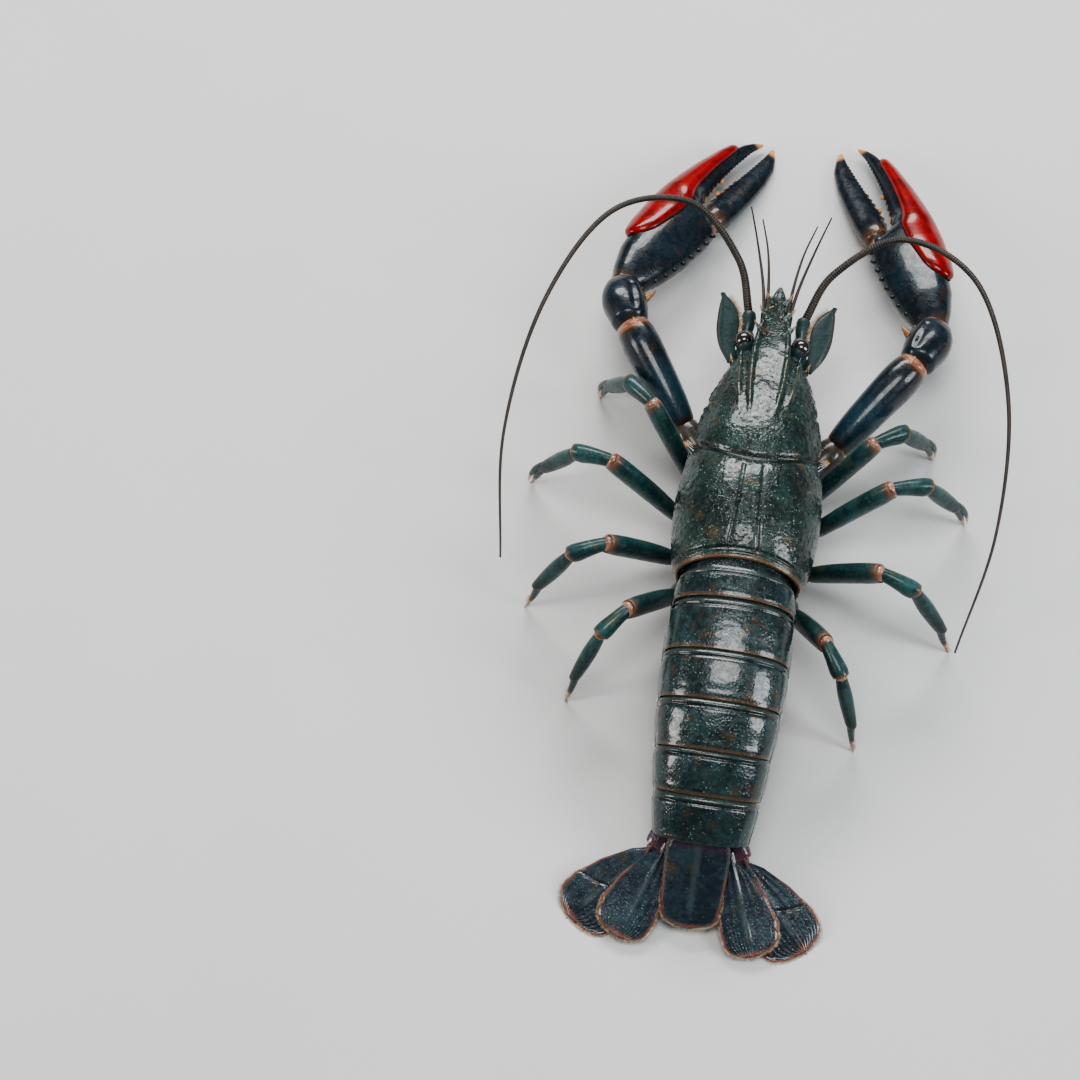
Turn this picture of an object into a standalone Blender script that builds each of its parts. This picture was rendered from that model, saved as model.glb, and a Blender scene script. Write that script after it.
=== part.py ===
"""Male freshwater crayfish of the red-clawed kind, standing on its legs: a still, life-size model.

Metres, +Z up, floor at Z = 0. The head points to -Y and the tail to +Y, so the left side is +X.
Body stations are measured in Y from the eye sockets, forward negative. Plates and limb lengths
are separate closed solids that meet face to face with a thin gap.
"""
import math

import bmesh
import bpy
from mathutils import Matrix, Vector

MM = 0.001
GAP = 0.3 * MM
UP = Vector((0, 0, 1))
BACK = Vector((0, 1, 0))
SIDES = {"left": 1, "right": -1}

# Driving sizes of the animal, in millimetres along the body
CARAPACE_LENGTH = 55.0
ROSTRUM_TIP_Y = -17.0
ABDOMEN_LENGTH = 59.0
TELSON_LENGTH = 20.0
CLAW_LENGTH = 60.0
PALM_LENGTH = 31.0

# Carapace stations: y, half width, top z, widest z, edge x, edge z, belly z
CARAPACE = (
    (-0.5, 7.8, 33.6, 28.0, 4.4, 21.6, 21.8),
    (5.0, 10.6, 35.6, 27.5, 6.0, 18.6, 19.8),
    (12.0, 13.0, 37.6, 26.8, 8.2, 16.2, 18.8),
    (20.0, 14.8, 39.1, 26.2, 11.0, 14.2, 18.2),
    (28.5, 16.0, 39.5, 25.9, 12.4, 13.1, 17.9),
    (34.0, 16.6, 40.2, 25.8, 12.8, 12.9, 17.8),
    (40.0, 16.8, 40.4, 25.8, 12.9, 12.8, 17.8),
    (46.0, 16.4, 39.9, 26.0, 12.6, 13.4, 18.0),
    (52.0, 15.4, 38.6, 26.6, 11.6, 15.2, 18.6),
    (55.0, 14.4, 37.4, 27.2, 10.4, 17.4, 19.4),
)
GROOVE_Y = 29.0
GROOVE_FORWARD = 14.0
GROOVE_DEPTH = 0.8
GROOVE_WIDTH = 1.9

# Rostrum stations: y, half width, top z, under z
ROSTRUM = (
    (7.0, 4.6, 35.6, 32.0),
    (2.0, 4.9, 35.3, 32.0),
    (-3.0, 4.5, 35.0, 32.4),
    (-8.0, 3.6, 34.9, 33.0),
    (-12.5, 2.5, 35.2, 33.7),
    (-15.5, 1.2, 35.7, 34.6),
    (ROSTRUM_TIP_Y, 0.25, 36.2, 35.7),
)
ROSTRUM_SPINES_Y = (-6.5, -10.5, -14.0)
# Keels behind the beak: places (x, y) from front to back, height and half width
KEELS = (
    (((6.6, 1.4), (6.5, 5), (6.1, 10), (5.6, 15)), 0.95, 1.0),
    (((3.9, 3), (3.7, 8), (3.3, 13), (2.9, 18)), 0.75, 0.9),
)
KEEL_SUNK = 1.1

# Where each pair of limbs grows: y of the base, then the turn back from straight sideways
LIMB_BASE_Z = 14.0
CLAW_BASE_Y = 21.5
# The breast plate's wedge: low and high z, half width at the top, and at the bottom front and back
BREAST = {"low": 10.3, "high": 17.2, "top": 8.2, "front": 2.2, "back": 3.4, "from": 17.5, "to": 52.0}
LEGS = {
    2: {"y": 28.0, "left": (-42, 1.00), "right": (-36, 0.98), "pincer": True},
    3: {"y": 34.5, "left": (-12, 1.08), "right": (-19, 1.08), "pincer": True},
    4: {"y": 41.0, "left": (22, 1.04), "right": (16, 1.06), "pincer": False},
    5: {"y": 47.5, "left": (50, 1.00), "right": (56, 0.98), "pincer": False},
}
# A leg in its own upright plane: reach and height at the end of each segment
LEG_JOINTS = {
    "ischium": (10.0, 9.2),
    "merus": (26.0, 26.0),
    "carpus": (34.0, 24.2),
    "propodus": (41.5, 10.6),
    "dactyl": (44.5, -0.35),
}
LEG_SIZES = {
    "ischium": (2.35, 2.5),
    "merus": (2.0, 2.7),
    "carpus": (1.85, 2.2),
    "propodus": (1.5, 1.85),
    "dactyl": (1.05, 1.1),
}

COLOURS = {
    "shell": ((0.030, 0.060, 0.055), 0.30),
    "tail_shell": ((0.028, 0.048, 0.058), 0.28),
    "claw_shell": ((0.018, 0.030, 0.045), 0.25),
    "claw_red": ((0.620, 0.030, 0.015), 0.30),
    "leg_shell": ((0.050, 0.120, 0.120), 0.35),
    "under_shell": ((0.330, 0.250, 0.160), 0.45),
    "feeler": ((0.050, 0.040, 0.035), 0.45),
    "eye": ((0.008, 0.008, 0.010), 0.08),
}


def clear_scene():
    for obj in list(bpy.data.objects):
        bpy.data.objects.remove(obj, do_unlink=True)


def material(slot):
    """The finish of one kind of shell, made once and then shared."""
    found = bpy.data.materials.get(slot)
    if found:
        return found
    colour, roughness = COLOURS[slot]
    made = bpy.data.materials.new(slot)
    made.use_nodes = True
    shader = made.node_tree.nodes["Principled BSDF"]
    shader.inputs["Base Color"].default_value = (*colour, 1)
    shader.inputs["Roughness"].default_value = roughness
    return made


def at(x, y, z, side=1):
    """A place on the animal, given in millimetres; side -1 mirrors it to the right."""
    return Vector((x * side, y, z)) * MM


def smooth(table, y):
    """The row of a table of stations at y, read along smooth curves through the rows."""
    rows = sorted(table)
    y = min(max(y, rows[0][0]), rows[-1][0])
    i = max(k for k in range(len(rows) - 1) if rows[k][0] <= y)
    a, b = rows[i], rows[i + 1]
    before, after = rows[max(i - 1, 0)], rows[min(i + 2, len(rows) - 1)]
    span = b[0] - a[0]
    t = (y - a[0]) / span
    found = []
    for k in range(1, len(a)):
        slope_a = (b[k] - before[k]) / (b[0] - before[0]) * span
        slope_b = (after[k] - a[k]) / (after[0] - a[0]) * span
        found.append(
            (2 * t**3 - 3 * t**2 + 1) * a[k]
            + (t**3 - 2 * t**2 + t) * slope_a
            + (3 * t**2 - 2 * t**3) * b[k]
            + (t**3 - t**2) * slope_b
        )
    return found


def curve_points(knots, count):
    """Evenly timed points along a smooth curve through a few knots."""
    table = [(i, *knot) for i, knot in enumerate(knots)]
    last = len(knots) - 1
    return [Vector(smooth(table, last * i / (count - 1))) for i in range(count)]


def finish(name, mesh_data, slot):
    """Makes the object of one node from its bmesh, faces out and shaded smooth."""
    bmesh.ops.recalc_face_normals(mesh_data, faces=mesh_data.faces)
    mesh = bpy.data.meshes.new(name)
    mesh_data.to_mesh(mesh)
    mesh_data.free()
    mesh.shade_smooth()
    mesh.set_sharp_from_angle(angle=math.radians(40))
    mesh.materials.append(material(slot))
    obj = bpy.data.objects.new(name, mesh)
    bpy.context.scene.collection.objects.link(obj)
    return obj


def loft(rings, floor=False):
    """A closed skin over a row of rings with equal counts of points; floor trims it flat at Z = 0."""
    bm = bmesh.new()
    loops = [[bm.verts.new(p) for p in ring] for ring in rings]
    for near, far in zip(loops, loops[1:]):
        for i in range(len(near)):
            j = (i + 1) % len(near)
            bm.faces.new((near[i], near[j], far[j], far[i]))
    bm.faces.new(loops[0][::-1])
    bm.faces.new(loops[-1])
    if floor:
        cut = bmesh.ops.bisect_plane(
            bm,
            geom=bm.verts[:] + bm.edges[:] + bm.faces[:],
            plane_co=(0, 0, 0),
            plane_no=(0, 0, -1),
            clear_outer=True,
        )
        edges = [e for e in cut["geom_cut"] if isinstance(e, bmesh.types.BMEdge)]
        bmesh.ops.edgenet_fill(bm, edges=edges)
    return bm


def oval(centre, across, up, half_across, half_up, count):
    """Points round an ellipse in the plane of two unit vectors."""
    points = []
    for i in range(count):
        turn = math.tau * (i + 0.5) / count
        points.append(
            centre
            + across * half_across * math.cos(turn)
            + up * half_up * math.sin(turn)
        )
    return points


def tube_rings(path, sizes, up, count, first=None, last=None):
    """Rings along a bent path. Each ring halves the bend; first and last give the end caps' normals."""
    rings = []
    for i, point in enumerate(path):
        before = (point - path[i - 1]).normalized() if i else None
        after = (path[i + 1] - point).normalized() if i < len(path) - 1 else None
        if before is None:
            along = first or after
        elif after is None:
            along = last or before
        else:
            along = (before + after).normalized()
        across = along.cross(up).normalized()
        ring_up = across.cross(along).normalized()
        half_across, half_up = sizes[i]
        rings.append(
            oval(point, across, ring_up, half_across * MM, half_up * MM, count)
        )
    return rings


def segment(a, b, size, shape):
    """Stations along one straight limb segment: places, and half sizes scaled by the shape."""
    places = [a.lerp(b, t) for t, _ in shape]
    sizes = [(size[0] * s, size[1] * s) for _, s in shape]
    return places, sizes


def halfway(before, corner, after):
    """Direction that halves the bend at a corner."""
    return ((corner - before).normalized() + (after - corner).normalized()).normalized()


def chain(parts):
    """Joins the stations of successive segments, one list of places and one of sizes."""
    path, sizes = [], []
    for places, halves in parts:
        path += places
        sizes += halves
    return path, sizes


def fuse(name, pieces, slot, solver="EXACT"):
    """One Boolean union of closed bmeshes; only the largest closed surface is kept."""
    helpers = bpy.data.collections.new(name + "_pieces")
    body = finish(name, pieces[0], slot)
    for i, piece in enumerate(pieces[1:]):
        helper = finish(f"{name}_piece_{i}", piece, slot)
        bpy.context.scene.collection.objects.unlink(helper)
        helpers.objects.link(helper)
    union = body.modifiers.new("Union", "BOOLEAN")
    union.operation = "UNION"
    union.operand_type = "COLLECTION"
    union.collection = helpers
    union.solver = solver
    graph = bpy.context.evaluated_depsgraph_get()
    joined = bpy.data.meshes.new_from_object(body.evaluated_get(graph))
    body.modifiers.clear()
    body.data = joined
    for helper in list(helpers.objects):
        bpy.data.objects.remove(helper, do_unlink=True)
    bpy.data.collections.remove(helpers)
    keep_largest(body)
    return body


def keep_largest(obj):
    """Drops every closed surface of a mesh but the one that encloses most."""
    bm = bmesh.new()
    bm.from_mesh(obj.data)
    bmesh.ops.remove_doubles(bm, verts=bm.verts, dist=0.002 * MM)
    bmesh.ops.dissolve_degenerate(bm, edges=bm.edges, dist=0.002 * MM)
    unseen = set(bm.faces)
    shells = []
    while unseen:
        shell, reach = set(), [unseen.pop()]
        while reach:
            face = reach.pop()
            shell.add(face)
            for edge in face.edges:
                for other in edge.link_faces:
                    if other in unseen:
                        unseen.discard(other)
                        reach.append(other)
        shells.append(shell)
    largest = max(shells, key=enclosed)
    dropped = [f for shell in shells if shell is not largest for f in shell]
    if dropped:
        bmesh.ops.delete(bm, geom=dropped, context="FACES")
        bmesh.ops.delete(bm, geom=[v for v in bm.verts if not v.link_faces], context="VERTS")
    bm.to_mesh(obj.data)
    bm.free()


def enclosed(shell):
    """Volume inside a closed set of faces."""
    total = 0.0
    for face in shell:
        corners = [v.co for v in face.verts]
        for b, c in zip(corners[1:], corners[2:]):
            total += corners[0].dot(b.cross(c))
    return abs(total)


def cone(root, tip, radius, sides=5):
    """A tapered spine from a sunk root to its tip."""
    path = [root, root.lerp(tip, 0.55), tip]
    sizes = [(radius, radius), (radius * 0.62, radius * 0.62), (0.12, 0.12)]
    along = (tip - root).normalized()
    up = UP if abs(along.z) < 0.8 else BACK
    return loft(tube_rings(path, sizes, up, sides))


# Head and thorax shell

SIDE_STEPS, TOP_STEPS = 5, 9


def carapace_half(y):
    """Half of the carapace's cross-section, from the middle of the belly up to the back."""
    half, top, widest, edge_x, edge_z, belly = smooth(CARAPACE, y)
    points = [(0.0, belly), (edge_x - 2.2, belly), (edge_x, edge_z)]
    for i in range(1, SIDE_STEPS + 1):
        turn = math.pi / 2 * i / SIDE_STEPS
        points.append(
            (
                edge_x + (half - edge_x) * math.sin(turn),
                widest - (widest - edge_z) * math.cos(turn),
            )
        )
    for i in range(1, TOP_STEPS + 1):
        turn = math.pi / 2 * i / TOP_STEPS
        points.append(
            (
                half * math.cos(turn) ** 0.92,
                widest + (top - widest) * math.sin(turn) ** 0.94,
            )
        )
    points[-1] = (0.0, top)
    return points, widest


def groove_at(y, share):
    """Depth of the cervical groove; share runs from 0 at the shell's edge to 1 on the back."""
    line = GROOVE_Y - GROOVE_FORWARD * (1 - share) ** 1.4
    return GROOVE_DEPTH * math.exp(-(((y - line) / GROOVE_WIDTH) ** 2)) * min(1, share * 3)


def back_height(x, y):
    """Height of the carapace's back over a point, in millimetres."""
    half, top, widest = smooth(CARAPACE, y)[:3]
    turn = math.acos(min(1.0, (abs(x) / half) ** (1 / 0.92)))
    return widest + (top - widest) * math.sin(turn) ** 0.94


def carapace_shell():
    rings = []
    steps = 23
    for k in range(steps):
        y = CARAPACE[0][0] + (CARAPACE_LENGTH - CARAPACE[0][0]) * k / (steps - 1)
        half, widest = carapace_half(y)
        first = len(half) - 1 - (SIDE_STEPS + TOP_STEPS)
        carved = []
        for i, (x, z) in enumerate(half):
            depth = groove_at(y, max(0, i - first) / (SIDE_STEPS + TOP_STEPS))
            inward = Vector((-x, widest - z)).normalized() * depth
            carved.append((x + inward.x if x else 0.0, z + inward.y))
        left = [at(x, y, z) for x, z in carved]
        right = [at(-x, y, z) for x, z in carved[1:-1]]
        rings.append(left + right[::-1])
    return loft(rings)


def rostrum():
    """The beak between the eyes: dished on top, with raised edges."""
    rings = []
    for y, half, top, under in ROSTRUM:
        rim = min(0.55, half * 0.3)
        side = [
            (0.0, under),
            (half * 0.7, under + 0.1),
            (half, (under + top) / 2),
            (half * 0.86, top + rim),
            (half * 0.5, top),
        ]
        across = side + [(0.0, top - 0.1)] + [(-x, z) for x, z in side[:0:-1]]
        rings.append([at(x, y, z) for x, z in across])
    return loft(rings)


def keel(knots, sunk, raised, half_width):
    """A low ridge that follows the back, pointed at its front end."""
    rings = []
    for i, (x, y) in enumerate(knots):
        z = back_height(x, y)
        lift = raised * (1.0, 1.0, 0.75, 0.12)[i]
        rings.append(
            [
                at(x - half_width, y, z - sunk),
                at(x + half_width, y, z - sunk),
                at(x, y, z + lift),
            ]
        )
    return loft(rings)


def build_carapace():
    pieces = [carapace_shell(), rostrum()]
    for side in SIDES.values():
        for y in ROSTRUM_SPINES_Y:
            half, top, under = smooth(ROSTRUM, y)
            root = at(half * 0.55, y + 1.2, (top + under) / 2, side)
            tip = at(half + 1.15, y - 1.7, top + 0.25, side)
            pieces.append(cone(root, tip, 0.75))
        for knots, raised, half_width in KEELS:
            route = [(x * side, y) for x, y in knots]
            pieces.append(keel(route, KEEL_SUNK, raised, half_width))
        root = at(6.7, 3.4, back_height(6.7, 3.4) - 0.3, side)
        pieces.append(cone(root, root + at(0.35, -4.2, 0.9, side), 0.8))
        root = at(8.4, 1.8, 28.5, side)
        pieces.append(cone(root, root + at(1.0, -3.5, 0.3, side), 0.75))
    for side in SIDES.values():
        for y, z in ((25.0, 30.4), (23.4, 26.6)):
            half = smooth(CARAPACE, y)[0]
            root = at(half - 1.4, y + 1.0, z, side)
            pieces.append(cone(root, root + at(1.7, -2.2, 0.3, side), 0.7))
    return fuse("carapace", pieces, "shell")


def breast_foot(y):
    """Half width of the breast plate's bottom edge."""
    share = (y - BREAST["from"]) / (BREAST["to"] - BREAST["from"])
    return BREAST["front"] + (BREAST["back"] - BREAST["front"]) * share


def limb_base(y, side):
    """Where a limb meets the breast plate's slope, a gap away from it, and the slope's normal."""
    foot = breast_foot(y)
    run, rise = BREAST["top"] - foot, BREAST["high"] - BREAST["low"]
    normal = Vector((rise * side, 0, -run)).normalized()
    x = foot + run * (LIMB_BASE_Z - BREAST["low"]) / rise
    return at(x, y, LIMB_BASE_Z, side) + normal * GAP, normal


def build_sternum():
    """The narrow breast plate, a wedge between the two rows of limb bases."""
    rings = []
    for k in range(6):
        y = BREAST["from"] + (BREAST["to"] - BREAST["from"]) * k / 5
        foot, top = breast_foot(y), BREAST["top"]
        low, high = BREAST["low"], BREAST["high"]
        rings.append([at(-foot, y, low), at(foot, y, low), at(top, y, high), at(-top, y, high)])
    return finish("sternum", loft(rings), "under_shell")


def build_mouth():
    """The block of jaws under the head, ahead of the breast plate."""
    rings = []
    for y, half, low in ((1.0, 3.0, 17.2), (6.0, 4.6, 14.6), (12.0, 5.4, 12.6), (17.1, 5.2, 11.4)):
        high = min(smooth(CARAPACE, y)[5] - 0.55, 17.6 + 0.25 * (17.1 - y))
        rings.append(
            [
                at(-half * 0.45, y, low),
                at(half * 0.45, y, low),
                at(half, y, low + 2.4),
                at(half, y, high),
                at(-half, y, high),
                at(-half, y, low + 2.4),
            ]
        )
    return finish("jaws", loft(rings), "under_shell")


# Feelers, eyes and mouthparts

EYE_RADIUS = 2.35


def build_eye(label, side):
    """A short stalk that swells into the ball of the eye."""
    root, centre = at(5.0, -0.9, 30.0, side), at(6.7, -4.4, 30.7, side)
    along = (centre - root).normalized()
    path, sizes = [root, root.lerp(centre, 0.3)], [(1.6, 1.6), (1.5, 1.5)]
    for k in range(1, 8):
        turn = math.pi * (0.22 + 0.78 * k / 7)
        path.append(centre - along * (EYE_RADIUS * math.cos(turn) * MM))
        radius = max(0.25, EYE_RADIUS * math.sin(turn))
        sizes.append((radius, radius))
    rings = tube_rings(path, sizes, UP, 12, first=-BACK)
    return finish(f"eye_{label}", loft(rings), "eye")


ANTENNULE_STEM = ((2.4, -0.9, 28.3), (2.6, -5.0, 28.4), (2.7, -9.0, 28.7), (2.8, -13.4, 29.2))


def build_antennule(label, side):
    """The small feeler: a three-part stem that forks into two short lashes."""
    stem = [at(*place, side) for place in ANTENNULE_STEM]
    sizes = [(1.35, 1.5), (1.2, 1.35), (1.05, 1.15), (0.75, 0.8)]
    pieces = [loft(tube_rings(stem, sizes, UP, 8, first=-BACK))]
    lashes = (
        ((2.8, -12.0, 29.2), (4.4, -20, 32.0), (7.0, -28, 36.6), (9.6, -34, 42.4)),
        ((2.6, -12.0, 28.8), (2.9, -20, 29.6), (4.2, -28, 32.0), (6.6, -35, 35.2)),
    )
    for knots in lashes:
        path = [at(*p, side) for p in curve_points(knots, 8)]
        sizes = [(0.42 - 0.2 * i / 7,) * 2 for i in range(8)]
        pieces.append(loft(tube_rings(path, sizes, UP, 6)))
    return fuse(f"antennule_{label}", pieces, "feeler")


ANTENNA_ROOT = (6.4, -14.6, 26.0)
ANTENNA_KNOTS = {
    "left": (
        ANTENNA_ROOT,
        (11, -26, 30.5),
        (24, -36, 36),
        (42, -29, 38.5),
        (54, -4, 36),
        (58, 28, 32),
        (54, 58, 27.5),
    ),
    "right": (
        ANTENNA_ROOT,
        (12, -25, 31),
        (27, -33, 37.5),
        (45, -22, 41),
        (55, 6, 40),
        (56, 38, 37),
        (50, 68, 34.5),
    ),
}
LASH_POINTS = 34
LASH_SPLIT = 15


def build_antenna(label, side):
    """The long feeler: a jointed stem, then a whip in two lengths."""
    stem = [
        at(6.2, -0.9, 24.2, side),
        at(6.4, -3.6, 24.4, side),
        at(6.5, -5.6, 24.7, side),
        at(6.5, -9.6, 25.2, side),
        at(6.4, -14.3, 25.8, side),
    ]
    sizes = [(2.1, 2.4), (2.3, 2.5), (1.9, 2.1), (1.75, 1.8), (1.3, 1.35)]
    rings = tube_rings(stem, sizes, UP, 10, first=-BACK, last=-BACK)
    finish(f"antenna_stem_{label}", loft(rings), "leg_shell")
    path = [at(*p, side) for p in curve_points(ANTENNA_KNOTS[label], LASH_POINTS)]
    radius = [1.15 - 0.87 * (i / (LASH_POINTS - 1)) ** 0.75 for i in range(LASH_POINTS)]
    sizes = [(r, r) for r in radius]
    split = path[LASH_SPLIT]
    along = (path[LASH_SPLIT + 1] - path[LASH_SPLIT - 1]).normalized()
    near = tube_rings(path[: LASH_SPLIT + 1], sizes[: LASH_SPLIT + 1], UP, 6, first=-BACK, last=along)
    finish(f"antenna_near_{label}", loft(near), "feeler")
    rest = [split + along * GAP] + path[LASH_SPLIT + 1 :]
    far = tube_rings(rest, sizes[LASH_SPLIT:], UP, 6, first=along)
    finish(f"antenna_far_{label}", loft(far), "feeler")


# Antennal scale: y, x of its middle, half width
ANTENNAL_SCALE = (
    (-0.9, 9.0, 1.0),
    (-4.0, 10.4, 1.6),
    (-8.0, 11.2, 2.3),
    (-12.0, 11.5, 2.3),
    (-14.6, 11.9, 1.6),
    (-17.5, 12.9, 0.3),
)


def build_antennal_scale(label, side):
    """The leaf-shaped scale outside each long feeler, with a point at its outer front corner."""
    rings = []
    for y, x, half in ANTENNAL_SCALE:
        z = 26.6 + 0.05 * (-y)
        thick = 0.55 if y > -14 else 0.3
        rings.append(oval(at(x, y, z, side), Vector((1, 0, 0)), UP, half * MM, thick * MM, 8))
    return finish(f"antennal_scale_{label}", loft(rings), "leg_shell")


def build_maxilliped(label, side):
    """The outer jaw leg, bent forward under the mouth."""
    joints = [
        at(3.1, 16.6, 9.9, side),
        at(3.3, 8.0, 10.2, side),
        at(3.7, -1.0, 13.2, side),
        at(3.4, -7.4, 16.6, side),
        at(2.6, -10.6, 14.2, side),
        at(2.0, -11.4, 10.4, side),
    ]
    sizes = [(1.7, 1.2), (2.0, 1.3), (1.75, 1.3), (1.35, 1.3), (1.1, 1.1), (0.35, 0.35)]
    rings = tube_rings(joints, sizes, UP, 8)
    return finish(f"maxilliped_{label}", loft(rings), "leg_shell")


# Claw arms

CLAW_ARM = {
    "coxa": (11.2, 19.2, 10.9),
    "ischium": (17.8, 11.0, 11.4),
    "merus": (33.5, -10.6, 17.8),
    "carpus": (37.6, -22.6, 15.0),
}
CLAW_TIP = {"left": (10.0, -75.0, 1.6), "right": (14.0, -77.5, 2.0)}
CLAW_OPEN = {"left": 5.0, "right": 8.5}
# The outer margin is turned up by this angle, so that its red swelling shows from above
CLAW_ROLL = 22.0
# How the arm's lengths swell: share of the length, share of the full size
ARM_ISCHIUM_SHAPE = ((0.0, 0.84), (0.5, 1.04), (0.94, 0.92))
ARM_MERUS_SHAPE = ((0.08, 0.72), (0.35, 0.93), (0.75, 1.06), (0.985, 0.84))
WRIST_SHAPE = ((0.0, 0.80), (0.2, 0.98), (0.6, 1.1), (0.86, 0.98), (1.0, 0.70))

# Claw outline: distance from the wrist, outer margin, inner margin, half thickness
CLAW = (
    (0.0, -3.2, 3.2, 3.0),
    (3.0, -4.9, 4.8, 3.9),
    (8.5, -7.0, 6.6, 4.8),
    (16.0, -8.2, 7.8, 5.3),
    (23.5, -8.5, 8.2, 5.3),
    (28.5, -8.4, 8.0, 4.9),
    (PALM_LENGTH, -8.2, 1.2, 4.3),
    (35.0, -7.7, -0.4, 3.7),
    (41.5, -6.6, -0.8, 3.1),
    (49.0, -4.9, -0.7, 2.4),
    (55.5, -2.9, -0.2, 1.6),
    (58.6, -1.2, 0.6, 0.9),
    (CLAW_LENGTH, 0.4, 1.0, 0.35),
)
# Movable finger, measured from its hinge: distance, cutting edge, inner margin, half thickness
FINGER_HINGE = (PALM_LENGTH - 0.6, 4.7)
FINGER = (
    (0.0, -2.9, 2.9, 3.2),
    (2.5, -3.7, 3.5, 3.5),
    (6.5, -4.0, 3.4, 3.3),
    (13.0, -3.9, 2.7, 2.8),
    (19.5, -3.8, 1.7, 2.2),
    (25.0, -3.9, 0.1, 1.5),
    (28.2, -4.2, -2.1, 0.8),
    (29.3, -4.4, -3.6, 0.35),
)
# Soft red swelling along the outer margin: distance from the wrist, then the upper and lower
# limits in degrees round the claw, where 90 is the top and 180 the outer margin
RED_PATCH = (
    (12.0, 152, 174),
    (13.2, 136, 188),
    (16.0, 121, 200),
    (23.5, 109, 209),
    (28.5, 108, 211),
    (PALM_LENGTH, 91, 221),
    (35.0, 94, 222),
    (41.5, 105, 218),
    (49.0, 124, 207),
    (53.0, 146, 196),
)
RED_RAISED = 0.4


def claw_frame(label, side):
    """Origin at the wrist, then unit vectors along the claw, to its inner edge and up its thickness."""
    wrist = at(*CLAW_ARM["carpus"], side)
    along = (at(*CLAW_TIP[label], side) - wrist).normalized()
    flat = Vector((-side, 0, 0))
    flat = (flat - along * flat.dot(along)).normalized()
    thick = along.cross(flat).normalized()
    if thick.z < 0:
        thick = -thick
    roll = Matrix.Rotation(math.radians(CLAW_ROLL), 3, along)
    tilted = roll @ flat
    if tilted.z > 0:
        roll = roll.transposed()
        tilted = roll @ flat
    return wrist, along, tilted, roll @ thick


def claw_rings(frame, table, inset=0.0, count=14):
    """Ovals across a claw or finger between its outer and inner margins."""
    wrist, along, inner, thick = frame
    rings = []
    for reach, low, high, half in table:
        middle = wrist + along * (reach * MM) + inner * ((low + high) / 2 * MM)
        rings.append(
            oval(middle, inner, thick, ((high - low) / 2 - inset) * MM, (half - inset) * MM, count)
        )
    return rings


def straight(table, reach):
    """The row of a table at reach, read along straight lines between its rows."""
    reach = min(max(reach, table[0][0]), table[-1][0])
    i = max(k for k in range(len(table) - 1) if table[k][0] <= reach)
    t = (reach - table[i][0]) / (table[i + 1][0] - table[i][0])
    return [a + (b - a) * t for a, b in zip(table[i][1:], table[i + 1][1:])]


def patch_rings(frame, socket=False):
    """The red swelling, which stands a little proud of the claw, or the wider socket it lies in."""
    wrist, along, inner, thick = frame
    last = len(RED_PATCH) - 1
    rings = []
    for k, (reach, upper, lower) in enumerate(RED_PATCH):
        low, high, half = straight(CLAW, reach)
        middle, wide = (low + high) / 2, (high - low) / 2
        depth = min(1.5, 0.34 * wide)
        margin = math.degrees(0.3 / wide) if socket else 0.0
        if socket:
            reach += {0: -0.3, last: 0.3}.get(k, 0.0)
        arcs = (
            (upper - margin, lower + margin, 9, 2.0 if socket else RED_RAISED),
            (lower + margin, upper - margin, 5, -depth - (0.3 if socket else 0.0)),
        )
        ring = []
        for begin, end, count, offset in arcs:
            for i in range(count):
                turn = math.radians(begin + (end - begin) * i / (count - 1))
                x = middle + (wide + offset) * math.cos(turn)
                z = (half + offset) * math.sin(turn)
                ring.append(wrist + along * (reach * MM) + inner * (x * MM) + thick * (z * MM))
        rings.append(ring)
    return rings


def cut_by(obj, cutter_mesh):
    """Takes a closed shape out of an object and applies the cut."""
    cutter = finish(obj.name + "_socket", cutter_mesh, "claw_red")
    cut = obj.modifiers.new("Socket", "BOOLEAN")
    cut.operation = "DIFFERENCE"
    cut.object = cutter
    graph = bpy.context.evaluated_depsgraph_get()
    made = bpy.data.meshes.new_from_object(obj.evaluated_get(graph))
    obj.modifiers.clear()
    obj.data = made
    bpy.data.objects.remove(cutter, do_unlink=True)
    keep_largest(obj)


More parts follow.
